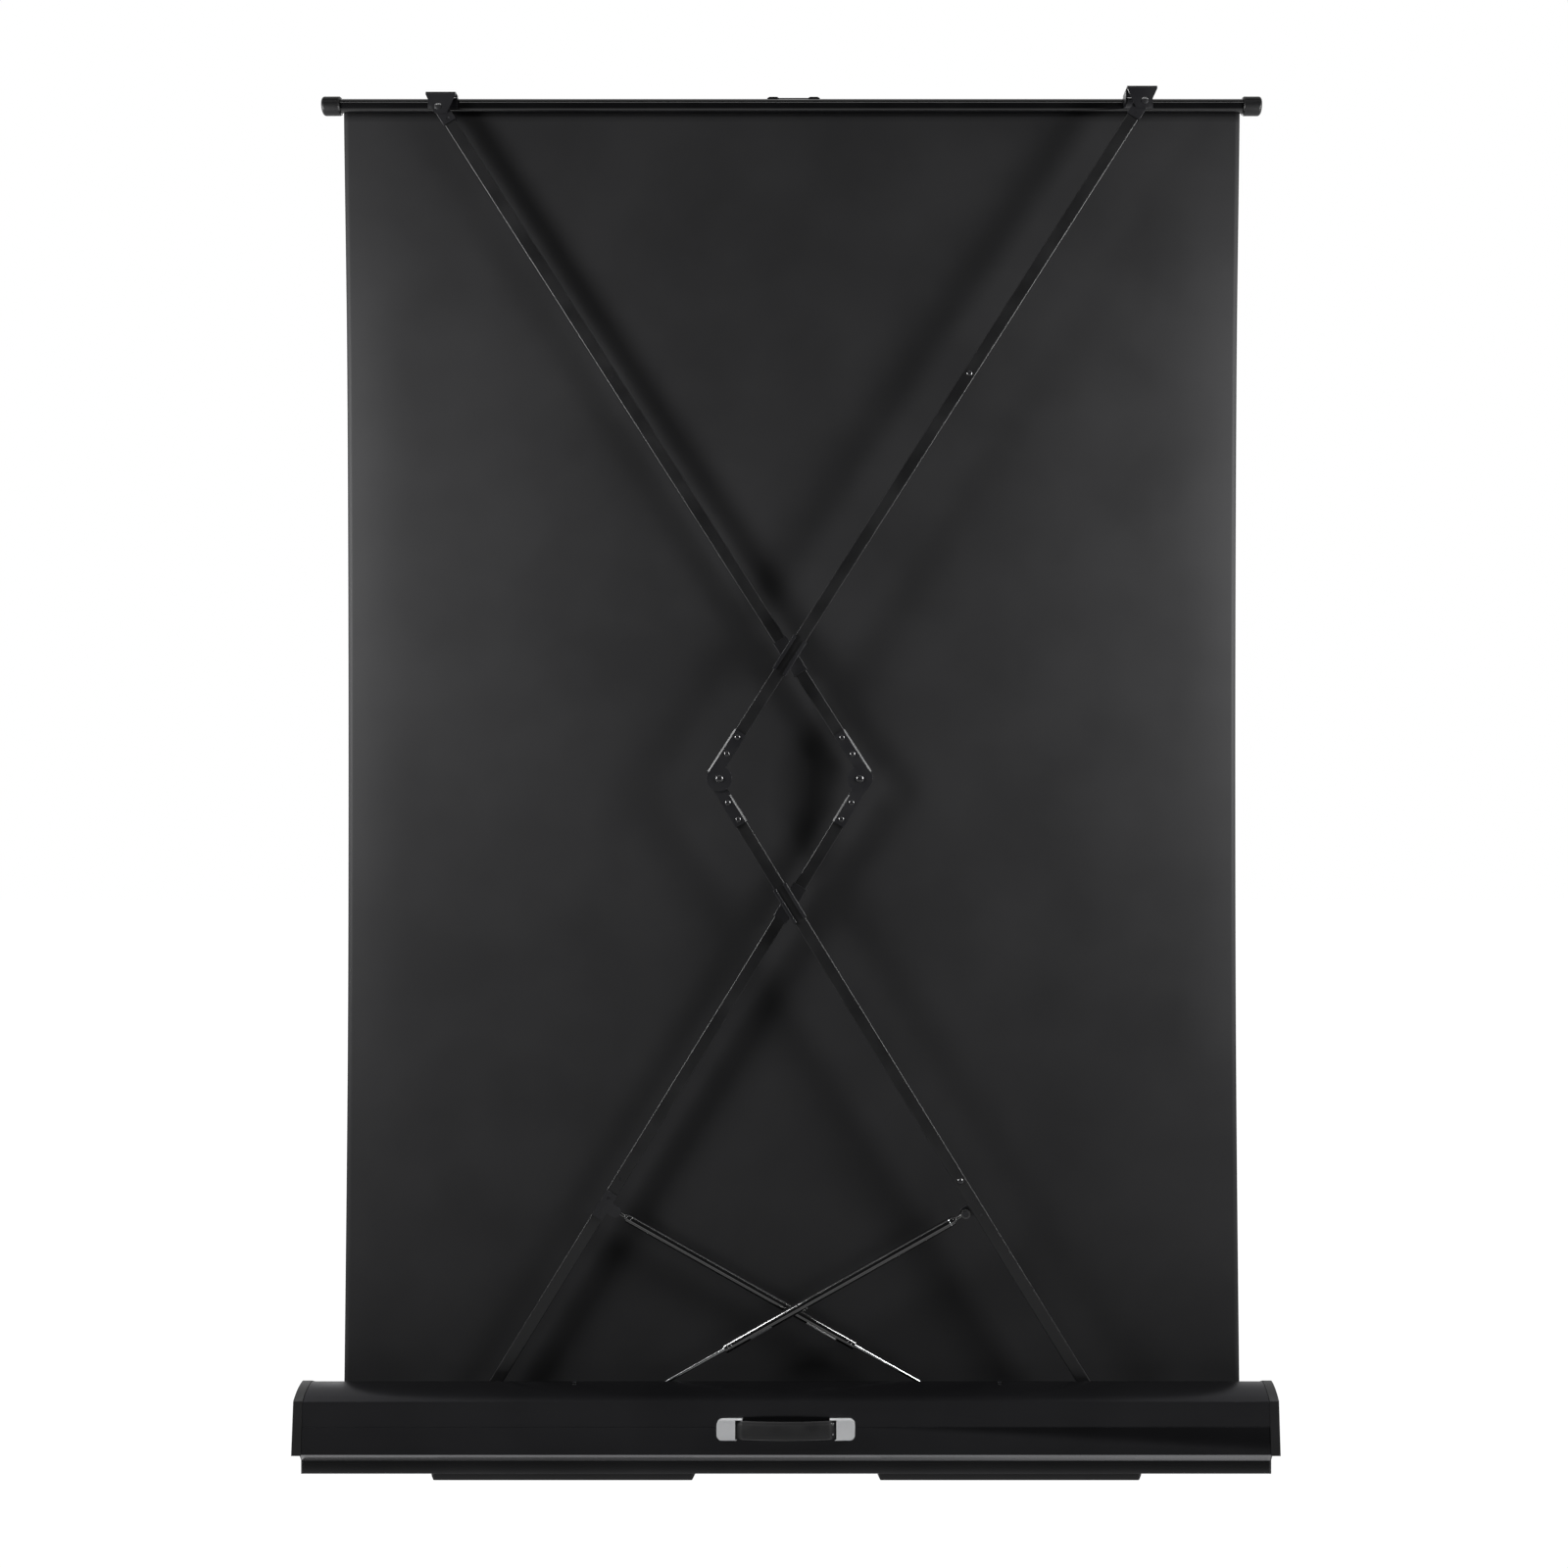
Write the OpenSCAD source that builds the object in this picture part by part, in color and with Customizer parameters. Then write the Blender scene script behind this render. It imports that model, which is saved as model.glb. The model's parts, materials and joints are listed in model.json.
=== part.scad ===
// Floor-standing pull-up projection screen, seen from behind: +X is left, +Y is towards the viewer.
// The cloth is drawn up out of a flat case by a crossed pair of folding arms with two gas struts.
// Every place in depth is measured from the plane of the cloth, and screen_y moves that plane.

/* [Screen] */
// Width of the cloth along the top bar
screen_w = 1500; // [1300:10:1700]
// Thickness of the black backing cloth
backing_t = 0.5; // [0.3:0.1:0.8]
// Thickness of the white coating on the front
face_t = 0.3; // [0.2:0.1:0.5]
// Width of the black border round the white surface
border_w = 40; // [20:5:80]
// How far each side edge draws in at half height
waist_in = 6; // [1:1:15]
// Sideways place of the cloth and the top bar
screen_x = -6; // [-8:1:8]

/* [Top bar] */
// Diameter of the round top bar
bar_d = 23.5; // [20:0.5:26]
// Wall of the top bar
bar_wall = 1.4; // [1:0.1:2]
// Width of the slot that the cloth enters
bar_slot = 2; // [1.6:0.1:3]
// Diameter of the rod that holds the hem of the cloth
hem_d = 5; // [4:0.5:7]
// Diameter of the plugs on the ends of the bar
bar_cap_d = 31; // [28:0.5:33]
// Length of the bar plugs
bar_cap_len = 31; // [24:1:40]
// How far the bar reaches past the cloth at each end
bar_overhang = 35; // [33:1:37]
// Width of the brackets at the bar
bracket_w = 49; // [40:1:60]
// Width of the brackets at their foot
bracket_foot_w = 21; // [18:1:30]
// How far the brackets lie towards the middle, from their pivots
bracket_in = 4; // [0:0.5:6]
// Height of the plate behind the arm end
bracket_h = 36; // [33:1:38]
// How far the brackets stand over the bar
bracket_over = 3; // [0:0.1:3]
// Sheet thickness of the brackets
bracket_t = 2.5; // [2:0.1:2.6]
// Depth of the pivot below the middle of the bar
pivot_drop = 10.7; // [9:0.1:13]
// Width of the finger grip in the middle of the bar
grip_w = 88; // [70:1:110]
// Sideways place of the finger grip on the bar
grip_x = -3; // [-8:1:8]

/* [Lift arms] */
// Width of the arm tubes
arm_w = 20; // [16:0.5:20]
// Depth of the arm tubes
arm_d = 10; // [9:0.1:10.4]
// Wall of the arm tubes
arm_wall = 1.5; // [1:0.1:2]
// Corner radius of the arm tubes
arm_corner = 1.5; // [0.5:0.1:1.5]
// Distance of the lifting frame behind the cloth
lift_gap = 30; // [29.6:0.1:30.6]
// Sideways place of the lifting frame
lift_x = -4; // [-8:1:8]
// Half of the space between the two layers of arms
layer_gap = 6; // [5.9:0.1:6.4]
// Angle of the lower arms when the screen is up
open_lower = 58.85; // [50:0.05:62]
// Angle of the lower arms in the case
shut_lower = 1.7; // [1.6:0.05:1.8]
// Angle of the upper arms in the case
shut_upper = 1.68; // [1.6:0.02:1.8]
// Distance of the folded elbows from the ends of the case
elbow_inset = 48; // [44:1:60]
// Distance of the arm feet from the ends of the case
base_inset = 235; // [220:1:260]
// Distance of the top pivots from the ends of the case
top_inset = 196; // [185:1:210]
// Height of the arm feet above the floor
pivot_z = 40; // [38:0.5:43]
// How far the lower arms lie outside the elbow pivots
lower_off = 9; // [8.9:0.1:10]
// How far the upper arms lie outside the elbow pivots
upper_off = 11.5; // [11.4:0.1:13]
// How far the upper arms lie outside the top pivots
top_off = 2.5; // [1:0.1:4]
// Sheet thickness of the elbow plates
plate_t = 2.5; // [2:0.1:2.6]
// Reach of the elbow plates along the arms
plate_len = 83; // [70:1:100]
// Distance of the outer rivets from the ends of the elbow plates
rivet_inset = 9.5; // [8:0.5:16]
// Distance between the two rivets of an elbow plate
rivet_pitch = 32.5; // [24:0.5:36]
// Radius of the round elbow discs
disc_r = 21; // [17:0.5:22]
// Thickness of the bent edges of the plates
flange_t = 1.4; // [1:0.1:1.5]
// Depth of the bent edges of the plates
flange_h = 7; // [4:0.5:8]
// Start of the bent edge along the lower arms, from the elbow pivot
flange_from = 33; // [30:1:40]
// Width of the slope along the bend
bend_w = 3; // [1:0.5:3.5]
// Length of the fitting on the top ends of the arms
end_fit_len = 43; // [42:1:50]
// Distance of its rivet from the end of the fitting
end_rivet_inset = 6; // [5:0.5:8]
// Sheet thickness of the fitting on the top ends
end_fit_t = 2; // [1.5:0.1:2.2]
// Length of the sliding channels at the crossings
sleeve_len = 65; // [50:1:80]
// Sheet thickness of the sliding channels
sleeve_t = 2.2; // [1.6:0.1:2.3]
// Width of the lips that hold the channels on the arms
sleeve_lip = 3.5; // [2:0.1:5]
// Gap between a folded upper channel and its stop rivet
stop_gap = 20; // [14:1:24]
// Gap between a folded lower channel and its stop rivet
low_stop_gap = 8.6; // [5:0.1:12]
// Diameter of the elbow and foot pins
pin_d = 8; // [6:0.5:9]
// Diameter of the heads of the pins
pin_head_d = 13; // [11:0.5:15]
// Diameter of the rivet heads
rivet_d = 9; // [7:0.5:10]
// Height of the rivet heads
rivet_h = 2; // [1:0.1:2.2]

/* [Gas struts] */
// Diameter of the strut tubes
strut_d = 16; // [14:0.5:16.5]
// Wall of the strut tubes
strut_wall = 1.5; // [1:0.1:2]
// Length of the strut tubes
strut_len = 433; // [410:1:440]
// Distance of the strut tubes from their upper eyes
strut_lead = 22; // [18:0.5:26]
// Diameter of the strut rods
rod_d = 6; // [5:0.5:8]
// Length of the strut rods from their lower eyes
rod_len = 385; // [360:1:410]
// Diameter of the eyes on the ends of the struts
eye_d = 16; // [13:0.5:16.5]
// Thickness of the eyes
eye_t = 8; // [6:0.5:8]
// Diameter of the pins through the eyes
strut_pin_d = 6; // [5:0.5:7]
// Distance of the upper eyes below the stop rivets
hold_gap = 51; // [49.5:0.1:61]
// Distance of the upper eyes from the middle of the arms
strut_drop = 21; // [20:0.5:22]
// Distance of the lower eyes from the feet of the arms
strut_inset = 144; // [139:1:149]
// Length of the strut brackets along the arms
hold_len = 48; // [46:1:56]
// Height of the lower eyes above the floor
strut_foot_z = 26; // [25.5:0.5:28]

/* [Case] */
// Length of the case past the cloth at each end
side_gap = 30; // [28:1:40]
// Width of the moulded end caps
cap_w = 15; // [14:0.5:22]
// How far the end caps stand proud of the case
cap_lip = 1.3; // [0.5:0.1:2.5]
// Wall of the end caps
cap_wall = 2.6; // [2:0.1:3]
// Space under the bar plugs in the end caps, with the screen down
pocket_room = 12; // [8:0.5:14]
// Wall of the case
shell_t = 2.2; // [1.6:0.1:2.4]
// Height of the case above the floor
case_top = 144; // [143.5:0.5:150]
// Height of the upper edge of the back face
face_high = 128; // [122:1:132]
// Height of the front lip of the bay
front_top = 112; // [106:1:114]
// Height of the upper edge of the front face
front_face = 96; // [90:1:98]
// Height of the lower edge of the upright faces
face_low = 46; // [42:1:52]
// Reach of the back face at its lower edge
back_low = 117; // [114:1:124]
// Reach of the back face at its upper edge
back_high = 107; // [100:1:110]
// Height of the fine groove along the back face
groove_z = 89.3; // [80:0.1:100]
// Width of the groove
groove_w = 1.6; // [1:0.1:2.5]
// Depth of the groove
groove_d = 0.6; // [0.3:0.1:0.8]
// Reach of the front face at its lower edge
front_low = 50; // [49:1:56]
// Reach of the front face at its upper edge
front_high = 49.5; // [49.5:0.5:52]
// Place of the back wall of the bay for the arms
bay_back = 57; // [56.5:0.5:60]
// Place of the front lip of the bay
bay_front = 20; // [17.5:0.5:22]
// Reach of the base rail behind the cloth
rail_back = 105; // [100:1:108]
// Reach of the base rail in front of the cloth
rail_front = 46; // [45.5:0.5:47]
// Height of the base rail
rail_h = 22; // [18:1:26]
// How far the sloping edge over the rail stands out at its foot
slope_out = 2; // [0:0.5:4]
// Sheet thickness of the base rail
rail_t = 3; // [2:0.1:3.4]

/* [Roller] */
// Diameter of the roller tube
roller_d = 38; // [32:0.5:40]
// Wall of the roller tube
roller_wall = 1.5; // [1:0.1:2]
// Thickness of the cloth that stays wound when the screen is up
wrap_t = 1.5; // [0.8:0.1:2]
// Radius of the flanges that guide the roll of cloth
roll_r = 24.5; // [22:0.1:25]
// Height of the roller above the floor
roller_z = 53; // [52:0.5:58]
// Diameter of the fixed shaft
shaft_d = 8; // [6:0.5:10]
// Length of the spring on the shaft
spring_len = 620; // [400:10:680]
// Diameter of the spring
spring_d = 18; // [14:0.5:24]
// Length of the roller plugs
plug_len = 30; // [15:1:50]
// Width of the plates that hold the shaft
holder_w = 36; // [24:1:38]
// Distance of the cover screws from the ends of the case
screw_inset = 432; // [420:1:440]

/* [Handle] */
// Length of the handle
handle_len = 222; // [200:1:260]
// Width of the metal ends of the handle
mount_w = 32.5; // [28:0.5:40]
// Height of the metal ends of the handle
mount_h = 32; // [31:0.5:44]
// Depth of the metal ends of the handle
mount_d = 13; // [12:0.5:18]
// Outer corner radius of the metal ends
mount_r = 9; // [5:0.5:12]
// Width of the strap
strap_h = 29; // [24:0.5:30]
// Thickness of the strap
strap_t = 4; // [3:0.1:5]
// How far the strap bows out in the middle
strap_bow = 13; // [10:0.5:16]
// Height of the handle above the floor
handle_z = 87; // [80:1:92]

/* [Feet] */
// Length of each foot
foot_len = 428; // [360:1:440]
// Width of each foot
foot_w = 114; // [80:1:120]
// Thickness of each foot
foot_t = 11; // [9:0.5:14]
// Length of the bevel at the ends of the feet
foot_bevel = 5; // [3:0.5:14]
// Distance of the foot pivots from the ends of the case
foot_inset = 419; // [414:1:425]
// Place of the foot pivots behind the cloth
foot_y = 46; // [38:1:48]
// Diameter of the foot bolts
bolt_d = 10; // [8:0.5:12]
// Height of the flat nuts on the foot bolts
nut_t = 2.6; // [2:0.1:3]

/* [Clearances] */
// Gap between faces that slide past each other
run_gap = 0.3; // [0.2:0.05:0.4]
// Radial gap round a pin
pin_gap = 0.05; // [0.03:0.01:0.1]
// Extra radial gap round the top pivot on the left
open_gap = 1; // [0.95:0.05:1.5]
// Gap between parts that are fixed to each other
seat_gap = 0.1; // [0:0.05:0.15]

/* [Hidden] */
round_fn = 48;
fine_fn = 96;
eps = 0.01;

// Overall sizes
case_half = screen_w / 2 + side_gap;
bar_half = screen_w / 2 + bar_overhang;
rail_top = foot_t + rail_h;
shell_low = foot_t + rail_t;
floor_z = shell_low;
face_tilt = atan2(back_low - back_high, face_high - face_low);
handle_face_y = back_low - (handle_z - face_low) * tan(face_tilt);
strap_seat = 5;
handle_out = strap_seat + strap_bow + strap_t;
back_reach = handle_face_y + handle_out * cos(face_tilt) + strap_h / 2 * sin(face_tilt);
front_reach = front_low + cap_lip;
screen_y = (front_reach - back_reach) / 2;
lift_y = screen_y + lift_gap;

// Folding frame: lengths and angles follow from where the pivots lie in the case
foot_x = case_half - foot_inset;
elbow_reach = case_half - elbow_inset;
base_half = case_half - base_inset;
strut_foot = base_half - strut_inset;
top_half = case_half - top_inset;
lower_len = (elbow_reach + base_half) / cos(shut_lower);
upper_len = (elbow_reach + top_half) / cos(shut_upper);
elbow_x = lower_len * cos(open_lower) - base_half;
elbow_z = pivot_z + lower_len * sin(open_lower);
open_upper = acos((elbow_x + top_half) / upper_len);
top_z = elbow_z + upper_len * sin(open_upper);
bar_z = top_z + pivot_drop;
bar_z_shut = pivot_z + lower_len * sin(shut_lower) + upper_len * sin(shut_upper) + pivot_drop;
bar_r = bar_d / 2;
hem_z = bar_z - bar_r + bar_wall + hem_d / 2 + 1.5;

// Arm directions: each arm lies a little outside the line through its pivots
lower_lean = asin(lower_off / lower_len);
upper_lean = asin((upper_off - top_off) / upper_len);
lower_tilt = open_lower - lower_lean;
upper_tilt = open_upper - upper_lean;
lower_run = lower_len * cos(lower_lean);
upper_run = upper_len * cos(upper_lean);
arm_start = 24;
arm_past = 12;
lower_slide = base_half / cos(lower_tilt);
upper_slide = (elbow_x + upper_off * sin(upper_tilt)) / cos(upper_tilt);
lower_slide_shut = base_half / cos(shut_lower - lower_lean);
upper_slide_shut = (elbow_reach + upper_off * sin(shut_upper - upper_lean)) / cos(shut_upper - upper_lean);
lower_stop = lower_slide_shut - sleeve_len / 2 - low_stop_gap;
strut_hold = lower_stop - hold_gap;
upper_stop = upper_slide_shut + sleeve_len / 2 + stop_gap;

// Depth of the front face of each arm; hand is 1 for the arm that leans to the left, -1 to the right
function lower_y(hand) = hand > 0 ? lift_y + layer_gap : upper_y(1) + plate_t + run_gap;
function upper_y(hand) = hand > 0 ? lift_y - layer_gap - arm_d : lower_y(1) + plate_t + run_gap;

// Strut geometry in the plane of the arms
eye_x = -base_half + strut_hold * cos(lower_tilt) + strut_drop * sin(lower_tilt);
eye_z = pivot_z + strut_hold * sin(lower_tilt) - strut_drop * cos(lower_tilt);
strut_reach = norm([strut_foot - eye_x, eye_z - strut_foot_z]);
strut_tilt = atan2(eye_z - strut_foot_z, strut_foot - eye_x);
function strut_y(hand) = hand > 0 ? lower_y(1) + eye_t / 2 + run_gap
    : lower_y(-1) + arm_d - eye_t / 2 - run_gap;

// Roller axis: the cloth leaves the back of the roll at the cloth plane
wound_r = roller_d / 2 + wrap_t;
cloth_front = -backing_t / 2 - face_t;
roller_y = screen_y + cloth_front - run_gap - wound_r;
roller_half = screen_w / 2 + 10;
cloth_low = roller_z;
cloth_high = hem_z - hem_d / 2 - run_gap;

// Points of the case outline: depth and height, from the cloth plane
back_dome_r = ((back_high - bay_back) ^ 2 + (case_top - face_high) ^ 2) / (2 * (case_top - face_high));
front_dome_r = ((front_high - bay_front) ^ 2 + (front_top - front_face) ^ 2) / (2 * (front_top - front_face));
back_dome_a = asin((face_high - case_top + back_dome_r) / back_dome_r);
front_dome_a = asin((front_face - front_top + front_dome_r) / front_dome_r);
dome_steps = 16;
function back_dome(g) = [for (i = [0:dome_steps])
    let (a = back_dome_a + (90 - back_dome_a) * i / dome_steps)
    [bay_back + (back_dome_r + g) * cos(a), case_top - back_dome_r + (back_dome_r + g) * sin(a)]];
function front_dome(g) = [for (i = [0:dome_steps])
    let (a = 90 + (90 - front_dome_a) * i / dome_steps)
    [-bay_front + (front_dome_r + g) * cos(a), front_top - front_dome_r + (front_dome_r + g) * sin(a)]];
rail_in_back = rail_back - rail_t - seat_gap;
rail_in_front = rail_front - rail_t - seat_gap;

module mirrored(hand) {
  if (hand < 0) mirror([1, 0, 0]) children();
  else children();
}

// Draws a flat shape in X and Z, from depth y0 over thickness t
module slab(y0, t) {
  translate([0, y0 + t, 0]) rotate([90, 0, 0]) linear_extrude(t) children();
}

// Draws a flat shape in Y and Z, from x0 over length len
module run(x0, len) {
  translate([x0, 0, 0]) rotate([90, 0, 90]) linear_extrude(len) children();
}

// A round bar along Y
module cross_pin(d, y0, len) {
  translate([0, y0, 0]) rotate([-90, 0, 0]) cylinder(d = d, h = len, $fn = round_fn);
}

module rounded_rect(w, h, r) {
  square([w - 2 * r, h], center = true);
  square([w, h - 2 * r], center = true);
  for (sx = [-1, 1], sy = [-1, 1])
    translate([sx * (w / 2 - r), sy * (h / 2 - r)]) circle(r = r, $fn = 24);
}

// A low domed rivet head on a flat face, its shank going the other way along -Y
module rivet(y0, shank) {
  cross_pin(rivet_d * 0.55, y0 - shank, shank + eps);
  dome_r = (rivet_h ^ 2 + (rivet_d / 2) ^ 2) / (2 * rivet_h);
  intersection() {
    translate([0, y0 + rivet_h - dome_r, 0]) sphere(r = dome_r, $fn = round_fn);
    cross_pin(rivet_d, y0, rivet_h);
  }
}

// Frames along the middle of the arms, with the screen up
module lower_line(hand) {
  translate([lift_x, 0, 0]) mirrored(hand)
    translate([-base_half, 0, pivot_z]) rotate([0, -lower_tilt, 0]) children();
}

module upper_line(hand) {
  translate([lift_x, 0, 0]) mirrored(hand)
    translate([-elbow_x, 0, elbow_z]) rotate([0, -upper_tilt, 0]) translate([0, 0, upper_off]) children();
}

// Frame at the lower eye of a strut, +X along the strut towards its upper eye
module strut_line(hand) {
  translate([lift_x, 0, 0]) mirrored(-hand)
    translate([-strut_foot, strut_y(hand), strut_foot_z]) rotate([0, -strut_tilt, 0]) children();
}

module arm_tube(y0, x0, x1) {
  run(x0, x1 - x0) translate([y0 + arm_d / 2, 0]) difference() {
    rounded_rect(arm_d, arm_w, arm_corner);
    square([arm_d - 2 * arm_wall, arm_w - 2 * arm_wall], center = true);
  }
}

// Holes along Y through an arm or a plate
module cross_holes(d, y0, len, places) {
  for (p = places) translate([p[0], 0, p[1]]) cross_pin(d, y0 - 1, len + 2);
}

function plate_rivets() = [plate_len - rivet_inset, plate_len - rivet_inset - rivet_pitch];
rivet_hole = rivet_d * 0.55 + 2 * pin_gap;
function top_hole(hand) = pin_d + 2 * pin_gap + (hand > 0 ? 2 * open_gap : 0);
function lower_plate_at(i) = lower_run - plate_rivets()[i];
hold_rivets = [strut_hold - hold_len / 2 + 10, strut_hold + hold_len / 2 - 10];

module lower_arm(hand) {
  y0 = lower_y(hand);
  lower_line(hand) difference() {
    arm_tube(y0, -arm_past, lower_run - arm_start);
    cross_holes(pin_d + 2 * pin_gap, y0, arm_d, [[0, 0]]);
    cross_holes(rivet_hole, y0, arm_d, [[lower_plate_at(0), 0], [lower_plate_at(1), 0]]);
    cross_holes(rivet_hole, y0, arm_d, [[lower_stop, 0], [hold_rivets[0], 0], [hold_rivets[1], 0]]);
  }
}

module upper_arm(hand) {
  y0 = upper_y(hand);
  upper_line(hand) difference() {
    arm_tube(y0, arm_start, upper_run + arm_past - end_fit_t);
    cross_holes(top_hole(hand), y0, arm_d, [[upper_run, -top_off]]);
    cross_holes(rivet_hole, y0, arm_d, [[plate_rivets()[0], 0], [plate_rivets()[1], 0], [upper_stop, 0]]);
    cross_holes(rivet_hole, y0, arm_d, [[upper_run + arm_past - end_fit_len + end_rivet_inset, 0]]);
  }
}

// Elbow plate drawn along +X from the pivot, with the arm lying off to the side by side_off;
// its bent edge starts at edge_from
module elbow_plate(y0, side_off, edge_from) {
  edge_out = arm_w / 2 + seat_gap + flange_t;
  difference() {
    union() {
      slab(y0, plate_t) {
        circle(r = disc_r, $fn = fine_fn);
        translate([0, side_off - arm_w / 2 + seat_gap]) square([plate_len, edge_out + arm_w / 2 - seat_gap]);
      }
      translate([edge_from, y0 - flange_h, side_off + edge_out - flange_t])
        cube([plate_len - edge_from, flange_h + eps, flange_t]);
    }
    run(edge_from - 1, plate_len - edge_from + 2) translate([y0 + plate_t, side_off + edge_out])
      polygon([[-bend_w * 0.7, 0], [0, -bend_w], [1, -bend_w], [1, 1], [-bend_w * 0.7, 1]]);
    cross_holes(pin_d + 2 * pin_gap, y0, plate_t, [[0, 0]]);
    cross_holes(rivet_hole, y0, plate_t, [[plate_rivets()[0], side_off], [plate_rivets()[1], side_off]]);
  }
}

module lower_elbow_plate(hand) {
  lower_line(hand) translate([lower_run, 0, lower_off]) mirror([1, 0, 0])
    elbow_plate(lower_y(hand) + arm_d, -lower_off, flange_from);
}

module upper_elbow_plate(hand) {
  upper_line(hand) translate([0, 0, -upper_off]) elbow_plate(upper_y(hand) + arm_d, upper_off, 0);
}

// Stop rivet with its head on the open side of the channel
module stop_rivet(y0, behind) {
  if (behind) rivet(y0 + arm_d, arm_d);
  else translate([0, y0, 0]) mirror([0, 1, 0]) rivet(0, arm_d);
}

module lower_rivets(hand) {
  y0 = lower_y(hand) + arm_d;
  lower_line(hand) {
    for (i = [0, 1]) translate([lower_plate_at(i), 0, 0]) rivet(y0 + plate_t, arm_d + plate_t);
    translate([lower_stop, 0, 0]) stop_rivet(lower_y(hand), hand > 0);
    for (x = hold_rivets) translate([x, 0, 0])
      cross_pin(rivet_d * 0.55, lower_y(hand) - (hand > 0 ? bracket_t : 0), arm_d + bracket_t);
  }
}

module upper_rivets(hand) {
  y0 = upper_y(hand) + arm_d;
  upper_line(hand) {
    for (x = plate_rivets()) translate([x, 0, 0]) rivet(y0 + plate_t, arm_d + plate_t);
    translate([upper_stop, 0, 0]) stop_rivet(upper_y(hand), hand < 0);
    translate([upper_run + arm_past - end_fit_len + end_rivet_inset, 0, 0])
      cross_pin(rivet_d * 0.55, upper_y(hand), arm_d + end_fit_t);
  }
}

// Elbow pin through the two discs; side is 1 for the left elbow
module elbow_pin(side) {
  back_arm_y = side > 0 ? lower_y(1) : upper_y(1);
  y0 = back_arm_y + arm_d;
  stack = 2 * plate_t + run_gap;
  translate([lift_x + side * elbow_x, 0, elbow_z]) {
    cross_pin(pin_head_d, y0 - rivet_h - seat_gap, rivet_h);
    cross_pin(pin_d, y0 - rivet_h, stack + rivet_h + seat_gap + 1);
    translate([0, y0 + stack + seat_gap, 0]) intersection() {
      cross_pin(pin_head_d, 0, rivet_h + 1);
      translate([0, rivet_h + 1 - pin_head_d * 0.66, 0]) sphere(r = pin_head_d * 0.66, $fn = fine_fn);
    }
  }
}

// Folded channel on the top end of an upper arm
module arm_end(hand) {
  y0 = upper_y(hand);
  w = arm_w + 2 * seat_gap + 2 * flange_t;
  x0 = upper_run + arm_past - end_fit_len;
  upper_line(hand) difference() {
    union() {
      slab(y0 + arm_d, end_fit_t) translate([x0, -w / 2]) square([end_fit_len, w]);
      for (s = [-1, 1]) translate([x0, y0, s * (w - flange_t) / 2 - flange_t / 2])
        cube([end_fit_len, arm_d + eps, flange_t]);
      translate([x0 + end_fit_len - end_fit_t + seat_gap, y0, -w / 2])
        cube([end_fit_t - seat_gap, arm_d + eps, w]);
    }
    cross_holes(top_hole(hand), y0, arm_d + end_fit_t, [[upper_run, -top_off]]);
    cross_holes(rivet_hole, y0, arm_d + end_fit_t, [[x0 + end_rivet_inset, 0]]);
  }
}

// Channel that slides on an arm, open by a slot on the face away from the crossing;
// towards is 1 when the arm's partner lies behind it, -1 when it lies in front
module slider(y0, towards, hole_d) {
  in_w = arm_w + 2 * run_gap;
  in_d = arm_d + 2 * run_gap;
  out_w = in_w + 2 * sleeve_t;
  out_d = in_d + 2 * sleeve_t;
  mid = y0 + arm_d / 2;
  open_y = towards > 0 ? mid - out_d / 2 - eps : mid + in_d / 2 - eps;
  web_y = towards > 0 ? mid + in_d / 2 : mid - out_d / 2;
  difference() {
    run(-sleeve_len / 2, sleeve_len) translate([mid, 0]) difference() {
      rounded_rect(out_d, out_w, 1);
      square([in_d, in_w], center = true);
    }
    translate([-sleeve_len / 2 - 1, open_y, -in_w / 2 + sleeve_lip])
      cube([sleeve_len + 2, sleeve_t + 2 * eps, in_w - 2 * sleeve_lip]);
    cross_holes(hole_d, web_y, sleeve_t, [[0, 0]]);
  }
}

crossing_pin_d = 10;
module lower_slider(hand) {
  lower_line(hand) translate([lower_slide, 0, 0])
    slider(lower_y(hand), -hand, crossing_pin_d + 2 * pin_gap);
}

module upper_slider(hand) {
  upper_line(hand) translate([upper_slide, 0, 0])
    slider(upper_y(hand), hand, crossing_pin_d + 2 * pin_gap);
}

// Pin between two channels: its ends sit in their webs, its collar keeps them apart
module crossing_pin(front_web, back_web) {
  inset = 0.4;
  cross_pin(crossing_pin_d, front_web - sleeve_t + inset, back_web - front_web + 2 * (sleeve_t - inset));
  cross_pin(crossing_pin_d + 8, front_web + run_gap, back_web - front_web - 2 * run_gap);
}

module lower_crossing_pin() {
  translate([lift_x, 0, pivot_z + base_half * tan(lower_tilt)])
    crossing_pin(lower_y(-1) + arm_d + run_gap + sleeve_t, lower_y(1) - run_gap - sleeve_t);
}

module upper_crossing_pin() {
  z = elbow_z + upper_off * cos(upper_tilt) + upper_slide * sin(upper_tilt);
  translate([lift_x, 0, z])
    crossing_pin(upper_y(1) + arm_d + run_gap + sleeve_t, upper_y(-1) - run_gap - sleeve_t);
}

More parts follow.
